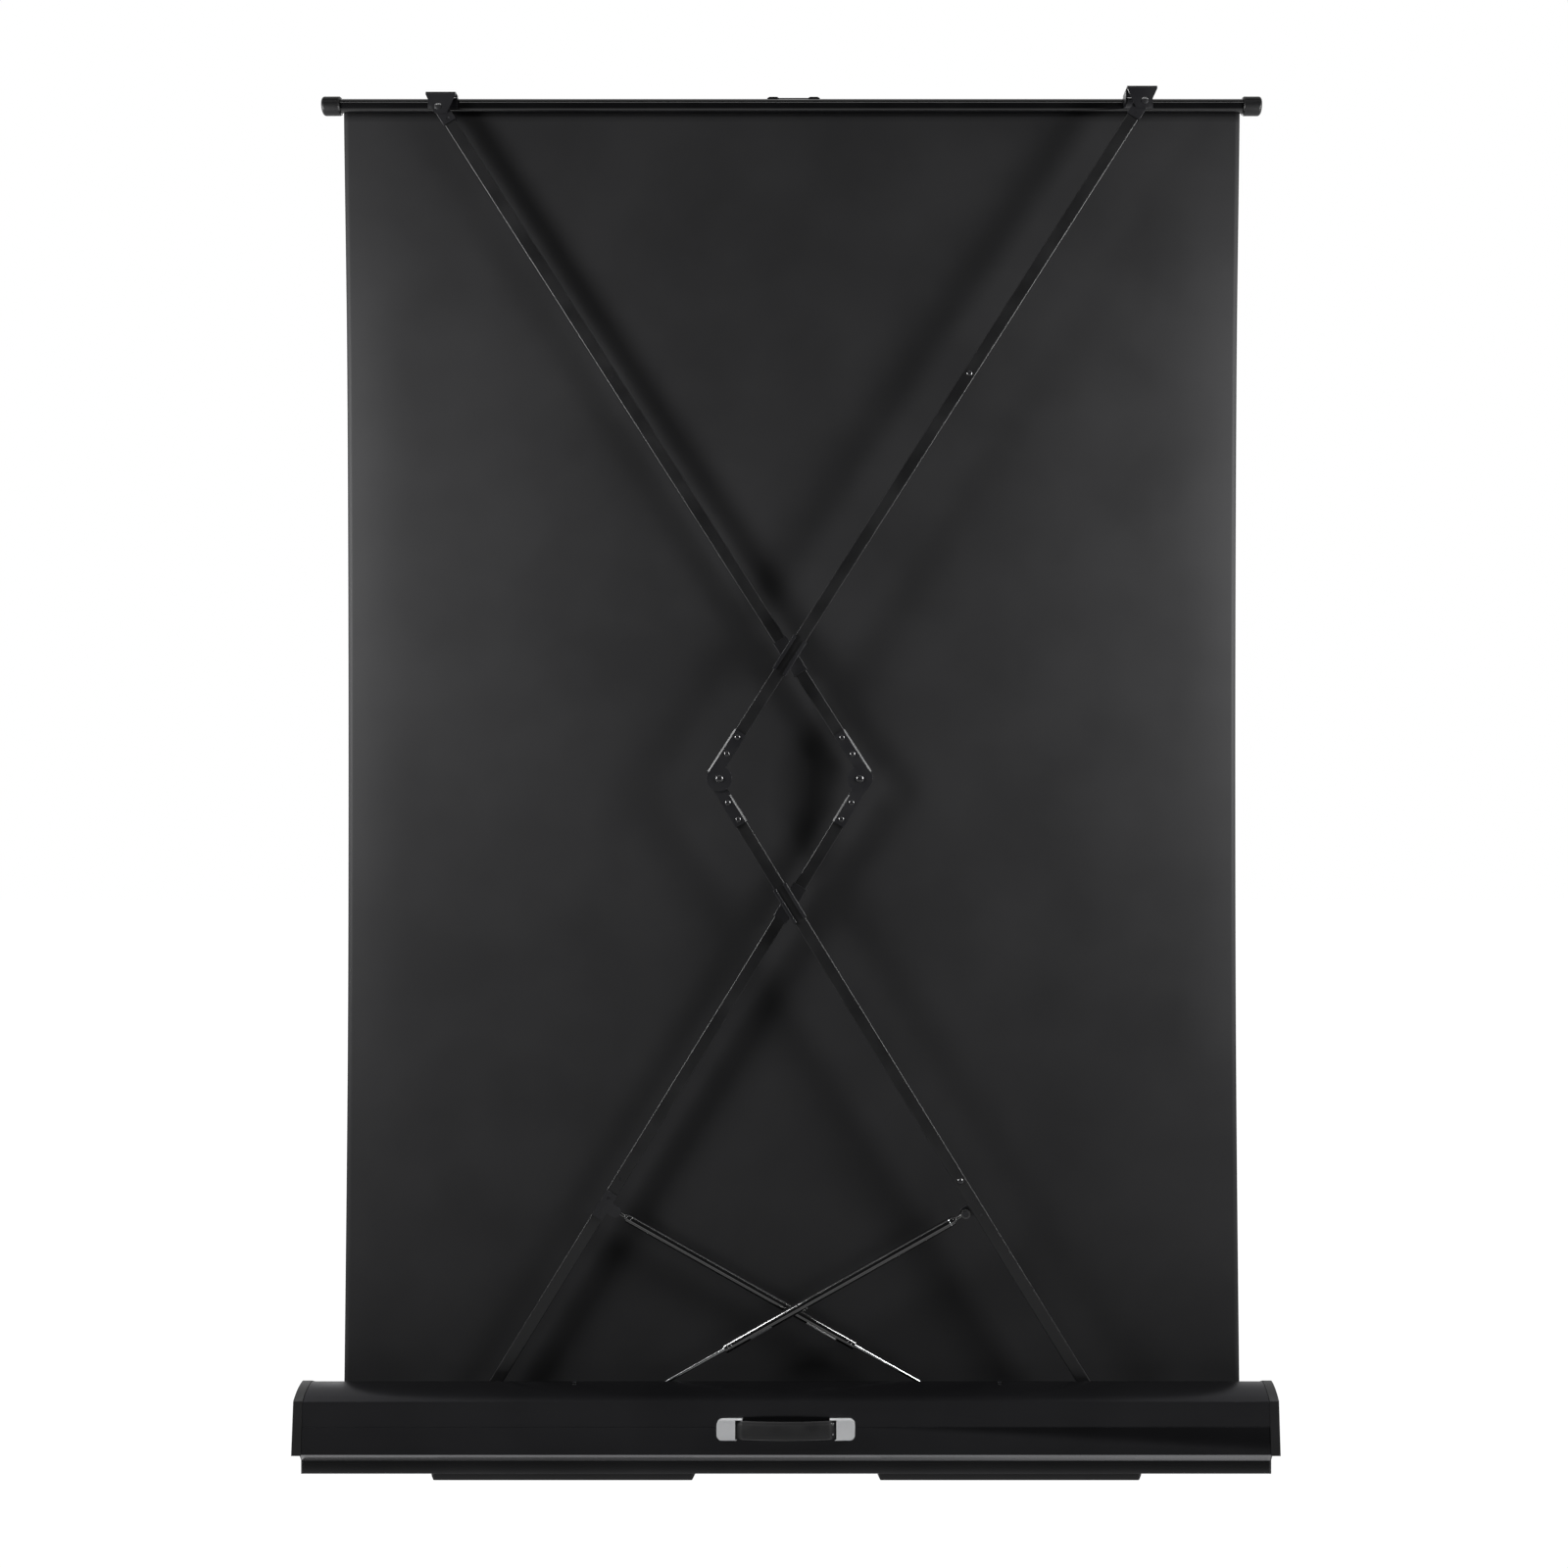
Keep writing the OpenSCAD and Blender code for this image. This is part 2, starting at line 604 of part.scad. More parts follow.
// Plate on the side of a lower arm that carries the upper eye of a strut
module strut_bracket(hand) {
  y0 = hand > 0 ? lower_y(hand) - bracket_t : lower_y(hand) + arm_d;
  lug_r = 9.5;
  pin_len = eye_t + 2 * run_gap + 1;
  lower_line(hand) {
    difference() {
      slab(y0, bracket_t) {
        translate([strut_hold - hold_len / 2, -arm_w / 2]) square([hold_len, arm_w]);
        translate([strut_hold - lug_r, -strut_drop]) square([2 * lug_r, strut_drop]);
        translate([strut_hold, -strut_drop]) circle(r = lug_r, $fn = round_fn);
      }
      cross_holes(rivet_hole, y0, bracket_t, [[hold_rivets[0], 0], [hold_rivets[1], 0]]);
    }
    translate([strut_hold, 0, -strut_drop]) {
      cross_pin(strut_pin_d, hand > 0 ? y0 : y0 - pin_len, bracket_t + pin_len);
      cross_pin(strut_pin_d + 4, hand > 0 ? y0 + bracket_t + eye_t + 2 * run_gap : y0 - pin_len - 1, 2);
    }
  }
}

// Strut parts are drawn along +X from the lower eye
module eye(at) {
  translate([at, 0, 0]) difference() {
    cross_pin(eye_d, -eye_t / 2, eye_t);
    cross_pin(strut_pin_d + 2 * pin_gap, -eye_t, 2 * eye_t);
  }
}

module strut_tube(hand) {
  tube_end = strut_reach - strut_lead;
  tube_low = tube_end - strut_len;
  guide = 9;
  strut_line(hand) {
    difference() {
      union() {
        translate([tube_low, 0, 0]) rotate([0, 90, 0]) cylinder(d = strut_d, h = strut_len, $fn = fine_fn);
        translate([tube_end - eps, 0, 0]) rotate([0, 90, 0]) cylinder(d = strut_d - 5, h = 4, $fn = round_fn);
        translate([tube_end, 0, 0]) rotate([0, 90, 0])
          cylinder(d = eye_t - 1, h = strut_lead - eye_d / 2 + 2, $fn = round_fn);
      }
      translate([tube_low + guide, 0, 0]) rotate([0, 90, 0])
        cylinder(d = strut_d - 2 * strut_wall, h = strut_len - 2 * guide, $fn = fine_fn);
      translate([tube_low - 1, 0, 0]) rotate([0, 90, 0])
        cylinder(d = rod_d + 2 * pin_gap, h = guide + 2, $fn = round_fn);
      translate([strut_reach, 0, 0]) cross_pin(strut_pin_d + 2 * pin_gap, -eye_t, 2 * eye_t);
    }
    eye(strut_reach);
  }
}

module strut_rod(hand) {
  strut_line(hand) {
    eye(0);
    difference() {
      union() {
        translate([eye_d / 2 - 2, 0, 0]) rotate([0, 90, 0])
          cylinder(d = rod_d, h = rod_len - eye_d / 2 + 2, $fn = round_fn);
        translate([eye_d / 2 - 2, 0, 0]) rotate([0, 90, 0])
          cylinder(d = eye_t - 0.5, h = 10, $fn = round_fn);
      }
      cross_pin(strut_pin_d + 2 * pin_gap, -eye_t, 2 * eye_t);
    }
  }
}

// Two cheeks on a base plate, holding a part of depth d from y0; origin under the pivot
module cheek_bracket(y0, d, z, half, r) {
  for (y = [y0 - run_gap - bracket_t, y0 + d + run_gap])
    difference() {
      slab(y, bracket_t) {
        translate([-r, floor_z]) square([2 * r, z - floor_z]);
        translate([0, z]) circle(r = r, $fn = round_fn);
      }
      translate([0, 0, z]) children();
    }
  translate([-half, y0 - run_gap - bracket_t, floor_z])
    cube([2 * half, d + 2 * run_gap + 2 * bracket_t, 1.5]);
}

module arm_foot_brackets() {
  for (hand = [-1, 1])
    translate([lift_x, 0, 0]) mirrored(hand) translate([-base_half, 0, 0])
      cheek_bracket(lower_y(hand), arm_d, pivot_z, 28, 13)
        cross_pin(pin_d + 2 * pin_gap, screen_y, bay_back);
}

module strut_foot_brackets() {
  for (hand = [-1, 1])
    translate([lift_x, 0, 0]) mirrored(-hand) translate([-strut_foot, 0, 0])
      cheek_bracket(strut_y(hand) - eye_t / 2, eye_t, strut_foot_z, 14, 8)
        cross_pin(strut_pin_d + 2 * pin_gap, screen_y, bay_back);
}

module base_pins() {
  for (hand = [-1, 1]) {
    translate([lift_x - hand * base_half, 0, pivot_z]) {
      y0 = lower_y(hand) - run_gap - bracket_t;
      stack = arm_d + 2 * run_gap + 2 * bracket_t;
      cross_pin(pin_d, y0 - 1, stack + 2);
      cross_pin(pin_head_d, y0 - seat_gap - rivet_h, rivet_h);
      cross_pin(pin_head_d, y0 + stack + seat_gap, rivet_h);
    }
    translate([lift_x + hand * strut_foot, 0, strut_foot_z]) {
      y0 = strut_y(hand) - eye_t / 2 - run_gap - bracket_t;
      stack = eye_t + 2 * run_gap + 2 * bracket_t;
      cross_pin(strut_pin_d, y0 - 1, stack + 2);
      cross_pin(strut_pin_d + 3, y0 - seat_gap - 1, 1);
      cross_pin(strut_pin_d + 3, y0 + stack + seat_gap, 1);
    }
  }
}

// Case: two extrusions stand on a base plate with upturned skirts; outlines in depth and height
module back_outline() {
  polygon(concat(
    [[bay_back, shell_low], [rail_in_back, shell_low], [rail_in_back, rail_top], [rail_back + slope_out, rail_top]],
    [[back_low, face_low]], back_dome(0)));
}

module back_chamber() {
  polygon(concat(
    [[bay_back + shell_t, shell_low + shell_t], [rail_in_back - shell_t, shell_low + shell_t]],
    [[rail_in_back - shell_t, rail_top + shell_t], [back_low - shell_t - 1, face_low + 1]],
    [for (p = back_dome(-shell_t)) if (p[0] > bay_back + shell_t) p],
    [[bay_back + shell_t, case_top - shell_t]]));
}

module front_outline() {
  inner = -rail_in_front + shell_t;
  polygon(concat(
    [[inner + foot_flange, shell_low], [inner + foot_flange, shell_low + shell_t], [inner, shell_low + shell_t]],
    [[inner, rail_top + shell_t], [-front_low + shell_t, face_low + 1]],
    [for (i = [dome_steps:-1:0]) front_dome(-shell_t)[i]],
    front_dome(0),
    [[-front_low, face_low], [-rail_front, rail_top], [-rail_in_front, rail_top], [-rail_in_front, shell_low]]));
}

foot_flange = 7;
bay_screw_x = case_half - screw_inset;
bay_screw_y = bay_back + 7;
module case_back() {
  translate([0, screen_y, 0]) difference() {
    run(-case_half, 2 * case_half) difference() {
      back_outline();
      back_chamber();
      translate([back_low - (groove_z - face_low) * tan(face_tilt), groove_z]) rotate(face_tilt)
        square([2 * groove_d, groove_w], center = true);
    }
    for (s = [-1, 1]) {
      translate([s * bay_screw_x, bay_screw_y, case_top - 8]) cylinder(d = 3.4, h = 12, $fn = 24);
      translate([0, handle_face_y, handle_z]) rotate([face_tilt, 0, 0])
        mirrored(s) handle_screw_place() cross_pin(4.4, -shell_t - 3, shell_t + 5);
    }
  }
}

module case_front() {
  translate([0, screen_y, 0]) run(-case_half, 2 * case_half) front_outline();
}

module base_plate() {
  translate([0, screen_y, 0]) difference() {
    translate([-case_half, -rail_front + rail_t, foot_t])
      cube([2 * case_half, rail_front + rail_back - 2 * rail_t, rail_t]);
    for (s = [-1, 1]) translate([s * foot_x, foot_y, 0])
      cylinder(d = bolt_d + 2 * pin_gap, h = foot_t + 2 * rail_t, $fn = round_fn);
  }
}

module base_skirts() {
  for (y = [-rail_front, rail_back - rail_t])
    translate([-case_half, screen_y + y, foot_t]) cube([2 * case_half, rail_t, rail_h]);
}

module cap_outline(g) {
  polygon(concat(
    [[-front_low - g, face_low - g], [back_low + g, face_low - g]],
    back_dome(g), front_dome(g)));
}

cap_screws = [[84, 60], [84, 112], [-36, 92]];
saddle_r = bar_cap_d / 2 + 0.6;
module end_cap(side) {
  notch_depth = cap_w - 1.8;
  foot_plate_t = 3;
  block = saddle_r + cap_wall;
  translate([side < 0 ? -case_half : case_half, screen_y, 0]) mirrored(side) difference() {
    union() {
      difference() {
        run(0, cap_w) cap_outline(cap_lip);
        run(-1, cap_w - cap_wall + 1) cap_outline(cap_lip - cap_wall);
      }
      intersection() {
        run(0, cap_w - 1) cap_outline(cap_lip);
        translate([0, -block, bar_z_shut - block - pocket_room]) cube([cap_w, 2 * block, 4 * block]);
      }
      run(0, foot_plate_t) polygon([
        [-rail_front, foot_t], [rail_back, foot_t], [rail_back, rail_top], [back_low - 1, face_low + 1],
        [-front_low + 1, face_low + 1], [-rail_front, rail_top]
      ]);
      for (p = cap_screws) translate([0, p[0], p[1]]) rotate([0, 90, 0]) cylinder(d = 9, h = cap_w - 1, $fn = 32);
    }
    translate([-1, -saddle_r, bar_z_shut - saddle_r - pocket_room])
      cube([notch_depth + 1, 2 * saddle_r, case_top]);
    for (p = cap_screws) translate([-1, p[0], p[1]]) rotate([0, 90, 0]) cylinder(d = 4.2, h = cap_w + 2, $fn = 24);
  }
}

module case_screws() {
  for (side = [-1, 1]) {
    for (p = cap_screws) translate([side * case_half, screen_y + p[0], p[1]]) mirrored(side) {
      translate([cap_w + seat_gap, 0, 0]) rotate([0, 90, 0]) cylinder(d = 8, h = 1.8, $fn = 32);
      translate([1, 0, 0]) rotate([0, 90, 0]) cylinder(d = 4, h = cap_w, $fn = 24);
    }
    translate([side * bay_screw_x, screen_y + bay_screw_y, case_top - 7]) cylinder(d = 3.2, h = 7.6, $fn = 24);
    translate([side * bay_screw_x, screen_y + bay_screw_y, case_top + seat_gap]) cylinder(d = 6, h = 1.5, $fn = 32);
  }
}

// Roller
module roller_brackets() {
  for (s = [-1, 1]) difference() {
    translate([s > 0 ? case_half - 3 : -case_half + 3 - bracket_t, roller_y - holder_w / 2 + 1, floor_z])
      cube([bracket_t, holder_w, roller_z - floor_z + holder_w / 2 - 2]);
    translate([0, roller_y, roller_z]) rotate([0, 90, 0])
      cylinder(d = shaft_d + 2 * pin_gap, h = 4 * case_half, center = true, $fn = round_fn);
    translate([-case_half, screen_y - rail_front, 0])
      cube([2 * case_half, rail_front - rail_in_front + shell_t + foot_flange + seat_gap, shell_low + shell_t + seat_gap]);
  }
}

module roller_shaft() {
  translate([-case_half + 2, roller_y, roller_z]) rotate([0, 90, 0])
    cylinder(d = shaft_d, h = 2 * case_half - 4, $fn = round_fn);
}

module roller_spring() {
  translate([roller_half - plug_len - 20 - spring_len, roller_y, roller_z]) rotate([0, 90, 0])
    difference() {
      cylinder(d = spring_d, h = spring_len, $fn = round_fn);
      translate([0, 0, -1]) cylinder(d = shaft_d + 2 * run_gap, h = spring_len + 2, $fn = round_fn);
    }
}

module roller_tube() {
  translate([-roller_half, roller_y, roller_z]) rotate([0, 90, 0]) difference() {
    cylinder(d = roller_d, h = 2 * roller_half, $fn = fine_fn);
    translate([0, 0, -1]) cylinder(d = roller_d - 2 * roller_wall, h = 2 * roller_half + 2, $fn = fine_fn);
  }
}

module roller_plugs() {
  for (s = [-1, 1]) translate([s * roller_half, roller_y, roller_z]) rotate([0, s * 90, 0]) difference() {
    union() {
      translate([0, 0, -plug_len])
        cylinder(d = roller_d - 2 * roller_wall - 2 * seat_gap, h = plug_len, $fn = fine_fn);
      translate([0, 0, seat_gap]) cylinder(r = roll_r, h = 3, $fn = fine_fn);
      cylinder(d = shaft_d + 8, h = side_gap - 16, $fn = round_fn);
    }
    translate([0, 0, -plug_len - 1])
      cylinder(d = shaft_d + 2 * pin_gap, h = plug_len + side_gap, $fn = round_fn);
  }
}

module wound_cloth() {
  translate([screen_x - screen_w / 2, roller_y, roller_z]) rotate([0, 90, 0]) difference() {
    cylinder(r = wound_r, h = screen_w, $fn = fine_fn);
    translate([0, 0, -1]) cylinder(r = roller_d / 2 + 0.05, h = screen_w + 2, $fn = fine_fn);
  }
}

// Cloth: side edges are shallow arcs
function edge_points(half, low, high, sag, n) = [for (i = [0:n])
    let (u = 2 * i / n - 1) [half - sag * (1 - u * u), low + (high - low) * i / n]];
function cloth_outline(half, low, high, sag) = let (e = edge_points(half, low, high, sag, 24))
    concat(e, [for (i = [len(e) - 1:-1:0]) [-e[i][0], e[i][1]]]);

module screen_cloth() {
  translate([screen_x, 0, 0]) slab(screen_y - backing_t / 2, backing_t)
    polygon(cloth_outline(screen_w / 2, cloth_low, cloth_high, waist_in));
}

module projection_surface() {
  low = front_top + border_w;
  translate([screen_x, 0, 0]) slab(screen_y - backing_t / 2 - face_t, face_t)
    polygon(cloth_outline(screen_w / 2 - border_w, low, bar_z - bar_r - border_w, waist_in));
}

// Top bar
module top_bar() {
  inner = bar_d - 2 * bar_wall;
  translate([screen_x - bar_half + 5, screen_y, bar_z]) rotate([0, 90, 0]) difference() {
    cylinder(d = bar_d, h = 2 * bar_half - 10, $fn = fine_fn);
    translate([0, 0, -1]) cylinder(d = inner, h = 2 * bar_half, $fn = fine_fn);
    translate([0, -bar_slot / 2, -1]) cube([bar_d, bar_slot, 2 * bar_half]);
  }
}

// Rounded plug over each end of the bar
module bar_plugs() {
  r = bar_cap_d / 2;
  crown = 5;
  for (s = [-1, 1]) translate([screen_x + s * (bar_half - bar_cap_len), screen_y, bar_z])
    rotate([0, s * 90, 0]) difference() {
      union() {
        translate([0, 0, 2]) cylinder(r = r, h = bar_cap_len - crown - 2, $fn = fine_fn);
        cylinder(r1 = r - 1.5, r2 = r, h = 2 + eps, $fn = fine_fn);
        translate([0, 0, bar_cap_len - crown - eps]) rotate_extrude($fn = fine_fn) intersection() {
          scale_circle(r, crown);
          square([r, crown + eps]);
        }
      }
      translate([0, 0, -1]) cylinder(d = bar_d + 2 * seat_gap, h = bar_cap_len - 5 + 1 + seat_gap, $fn = fine_fn);
    }
}

// Quarter-round crown of the plug: a corner radius of crown on a disc of radius r
module scale_circle(r, crown) {
  square([r - crown, crown]);
  translate([r - crown, 0]) circle(r = crown, $fn = round_fn);
}

module hem_rod() {
  translate([screen_x - screen_w / 2, screen_y, hem_z]) rotate([0, 90, 0])
    cylinder(d = hem_d, h = screen_w, $fn = 32);
}

// Bent sheet in depth and height: its outer corner at the origin, legs to the front and down
module bent_sheet(reach, drop, t, r) {
  translate([-reach, -t]) square([reach - r + eps, t]);
  translate([-t, -drop]) square([t, drop - r + eps]);
  intersection() {
    translate([-r, -r]) difference() {
      circle(r = r, $fn = fine_fn);
      circle(r = r - t, $fn = fine_fn);
    }
    translate([-r, -r]) square(r + 1);
  }
}

// Bracket from the bar back to the pivot of an upper arm
module bar_bracket(hand) {
  back_y = upper_y(hand) + arm_d + end_fit_t + run_gap;
  top = bar_z + bar_r + bracket_over;
  bend_r = 5;
  saddle_t = 1.5;
  in_r = bar_r + seat_gap;
  x0 = -bracket_in - bracket_w / 2;
  translate([lift_x, 0, 0]) mirrored(hand) translate([top_half, 0, 0]) difference() {
    union() {
      slab(back_y, bracket_t) translate([-bracket_in, 0]) polygon([
        [-bracket_w / 2, top - bend_r - 1], [-bracket_w / 2, top - bend_r], [bracket_w / 2, top - bend_r],
        [bracket_w / 2, top - bend_r - 1], [bracket_foot_w / 2, top - bracket_h],
        [-bracket_foot_w / 2, top - bracket_h]
      ]);
      run(x0, bracket_w) translate([back_y + bracket_t, top])
        bent_sheet(back_y + bracket_t - screen_y - bar_r * 0.5, bend_r + 0.5, bracket_t, bend_r);
      intersection() {
        translate([x0, screen_y, bar_z]) rotate([0, 90, 0])
          cylinder(r = in_r + saddle_t, h = bracket_w, $fn = fine_fn);
        translate([x0, screen_y + 2, bar_z - 8]) cube([bracket_w, bar_d, bar_r + 8]);
      }
      translate([x0, screen_y + bar_r * 0.8, bar_z - 7])
        cube([bracket_t, upper_y(hand) - 1.5 - screen_y - bar_r * 0.8, bar_r + bracket_over + 5]);
    }
    translate([-bracket_w, screen_y, bar_z]) rotate([0, 90, 0])
      cylinder(r = in_r, h = 2 * bracket_w, $fn = fine_fn);
    translate([0, 0, top_z]) cross_pin(pin_d + 2 * pin_gap, back_y - 1, bracket_t + 2);
  }
}

module bar_pivot_rivets() {
  for (hand = [-1, 1]) translate([lift_x + hand * top_half, 0, top_z]) {
    back_y = upper_y(hand) + arm_d + end_fit_t + run_gap + bracket_t;
    cross_pin(pin_d, upper_y(hand) - 1, back_y - upper_y(hand) + 2);
    intersection() {
      cross_pin(pin_head_d - 1, back_y + seat_gap, rivet_h);
      translate([0, back_y + seat_gap + rivet_h - pin_head_d, 0]) sphere(r = pin_head_d, $fn = fine_fn);
    }
  }
}

// Moulded grip clipped over the front of the bar, with two raised ends
module finger_grip() {
  in_r = bar_r + seat_gap;
  boss_w = 20;
  translate([screen_x + grip_x, screen_y, bar_z]) {
    intersection() {
      rotate([0, 90, 0]) difference() {
        cylinder(r = in_r + 2, h = grip_w, center = true, $fn = fine_fn);
        cylinder(r = in_r, h = grip_w + 2, center = true, $fn = fine_fn);
      }
      translate([-grip_w, -bar_d, -bar_r * 0.7]) cube([2 * grip_w, bar_d + 1, 2 * bar_d]);
    }
    for (s = [-1, 1]) difference() {
      translate([s * (grip_w / 2 - boss_w / 2), 0, 0]) slab(-8, 12) polygon([
        [-boss_w / 2, bar_r * 0.8], [-boss_w / 2, bar_r + 0.5], [-boss_w / 2 + 3.5, bar_r + 2.8],
        [boss_w / 2 - 3.5, bar_r + 2.8], [boss_w / 2, bar_r + 0.5], [boss_w / 2, bar_r * 0.8]
      ]);
      rotate([0, 90, 0]) cylinder(r = in_r, h = 2 * grip_w, center = true, $fn = fine_fn);
    }
  }
}

// Carrying handle on the back face, drawn on a face at y = 0 and tilted with it
module on_back_face() {
  translate([0, screen_y + handle_face_y, handle_z]) rotate([face_tilt, 0, 0]) children();
}

strap_half = handle_len / 2 - mount_w / 2;
strap_big_r = (strap_half ^ 2 + strap_bow ^ 2) / (2 * strap_bow);
module strap_ring(grow) {
  translate([0, strap_seat + strap_bow - strap_big_r, 0]) difference() {
    cylinder(r = strap_big_r + strap_t + grow, h = strap_h + 2 * grow, center = true, $fn = 360);
    cylinder(r = strap_big_r - grow, h = strap_h + 2 * grow + 2, center = true, $fn = 360);
  }
}

module handle_strap() {
  on_back_face() intersection() {
    strap_ring(0);
    translate([-strap_half, 0, -strap_h]) cube([2 * strap_half, 2 * handle_out, 2 * strap_h]);
  }
}

module handle_ends() {
  on_back_face() for (s = [-1, 1]) mirrored(s) difference() {
    slab(seat_gap, mount_d) {
      translate([handle_len / 2 - mount_w, -mount_h / 2]) square([mount_w - mount_r, mount_h]);
      translate([handle_len / 2 - mount_w, -mount_h / 2 + mount_r]) square([mount_w, mount_h - 2 * mount_r]);
      for (z = [-1, 1]) translate([handle_len / 2 - mount_r, z * (mount_h / 2 - mount_r)])
        circle(r = mount_r, $fn = round_fn);
      translate([handle_len / 2 - mount_w - 8, mount_h / 2 - 4]) square([9, 4]);
    }
    intersection() {
      strap_ring(0.4);
      translate([handle_len / 2 - mount_w - 20, 0, -strap_h]) cube([mount_w / 2 + 21, 3 * mount_d, 2 * strap_h]);
    }
    handle_screw_place() cross_pin(4.4, -1, mount_d - 3);
  }
}

// The handle is screwed on from inside the case
module handle_screw_place() {
  translate([handle_len / 2 - mount_w / 2 + 4, 0, 0]) children();
}

module handle_screws() {
  back = shell_t + 3 * seat_gap;
  on_back_face() for (s = [-1, 1]) mirrored(s) handle_screw_place() {
    cross_pin(4, -back - 1, back + mount_d - 4);
    cross_pin(8, -back - 2, 2);
  }
}

// Feet: flat bars that swivel under the case
module foot(side) {
  half = foot_len / 2;
  translate([side * foot_x, screen_y + foot_y, 0]) difference() {
    intersection() {
      slab(-foot_w / 2, foot_w) polygon([
        [-half + foot_bevel, 0], [half - foot_bevel, 0], [half, foot_t * 0.8], [half, foot_t - seat_gap],
        [-half, foot_t - seat_gap], [-half, foot_t * 0.8]
      ]);
      linear_extrude(foot_t) rounded_rect(foot_len, foot_w, 8);
    }
    translate([0, 0, -1]) cylinder(d = bolt_d + 2 * pin_gap, h = foot_t + 2, $fn = round_fn);
    translate([0, 0, -1]) cylinder(d = bolt_d * 2 + 1, h = 5.5, $fn = round_fn);
  }
}

module foot_bolts() {
  for (s = [-1, 1]) translate([s * foot_x, screen_y + foot_y, 0]) {
    translate([0, 0, 1]) cylinder(d = bolt_d * 2, h = 3.3, $fn = round_fn);
    translate([0, 0, 1]) cylinder(d = bolt_d, h = floor_z - 1 + nut_t + 0.4, $fn = round_fn);
  }
}

module foot_washers() {
  for (s = [-1, 1]) translate([s * foot_x, screen_y + foot_y, floor_z]) difference() {
    cylinder(d = bolt_d * 1.7, h = nut_t, $fn = 6);
    translate([0, 0, -1]) cylinder(d = bolt_d + 2 * pin_gap, h = 5, $fn = round_fn);
  }
}

color("#202124") case_back();
color("#202124") case_front();
color("#18191b") base_plate();
color("#18191b") base_skirts();
color("#1b1c1e") end_cap(1);  // end_cap_left
color("#1b1c1e") end_cap(-1);  // end_cap_right
color("silver") case_screws();
color("dimgray") arm_foot_brackets();
color("silver") base_pins();
color("dimgray") strut_foot_brackets();
color("dimgray") roller_brackets();
color("silver") roller_shaft();
color("slategray") roller_spring();
color("lightgray") handle_ends();
color("#222222") handle_strap();
color("silver") handle_screws();
color("silver") foot_bolts();
color("silver") foot_washers();
color("#2b2b2d") screen_cloth();
color("white") projection_surface();
color("gainsboro") roller_tube();
color("#303030") roller_plugs();
color("#3a3a3c") wound_cloth();
color("#151515") lower_arm(-1);  // lower_arm_left
color("#151515") lower_arm(1);  // lower_arm_right
color("#151515") upper_arm(1);  // upper_arm_left
color("#151515") upper_arm(-1);  // upper_arm_right
color("#262626") lower_elbow_plate(-1);  // lower_elbow_plate_left
color("#262626") lower_elbow_plate(1);  // lower_elbow_plate_right
color("#262626") upper_elbow_plate(1);  // upper_elbow_plate_left
color("#262626") upper_elbow_plate(-1);  // upper_elbow_plate_right
color("silver") lower_rivets(-1);  // lower_rivets_left
color("silver") lower_rivets(1);  // lower_rivets_right
color("silver") upper_rivets(1);  // upper_rivets_left
color("silver") upper_rivets(-1);  // upper_rivets_right
color("silver") elbow_pin(1);  // elbow_pin_left
color("silver") elbow_pin(-1);  // elbow_pin_right
color("#262626") strut_bracket(-1);  // strut_bracket_left
color("#262626") strut_bracket(1);  // strut_bracket_right
color("#262626") arm_end(1);  // arm_end_left
color("#262626") arm_end(-1);  // arm_end_right
color("#303030") lower_slider(-1);  // lower_slider_left
color("#303030") lower_slider(1);  // lower_slider_right
color("#303030") upper_slider(1);  // upper_slider_left
color("#303030") upper_slider(-1);  // upper_slider_right
color("silver") lower_crossing_pin();
color("silver") upper_crossing_pin();
color("#1a1a1a") top_bar();
color("#1c1c1c") bar_plugs();
color("whitesmoke") hem_rod();
color("#262626") bar_bracket(1);  // bar_bracket_left
color("#262626") bar_bracket(-1);  // bar_bracket_right
color("silver") bar_pivot_rivets();
color("#202020") finger_grip();
color("#101010") strut_tube(-1);  // strut_tube_left
color("#101010") strut_tube(1);  // strut_tube_right
color("silver") strut_rod(-1);  // strut_rod_left
color("silver") strut_rod(1);  // strut_rod_right
color("#151515") foot(1);  // foot_left
color("#151515") foot(-1);  // foot_right
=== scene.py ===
"""Looks of the floor-standing pull-up projection screen, seen from behind.

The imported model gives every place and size. This script finishes each solid, makes the cloth, its roll,
the carrying strap and the small dressings of the gas struts, and sets up a plain studio with the camera
at the viewing angle of the photograph. Lengths are in metres unless a name ends in _mm.
"""

from __future__ import annotations

import json
import logging
import math
from abc import ABC, abstractmethod
from collections.abc import Callable, Iterable, Mapping, Sequence
from dataclasses import dataclass, field
from enum import Enum
from typing import Any

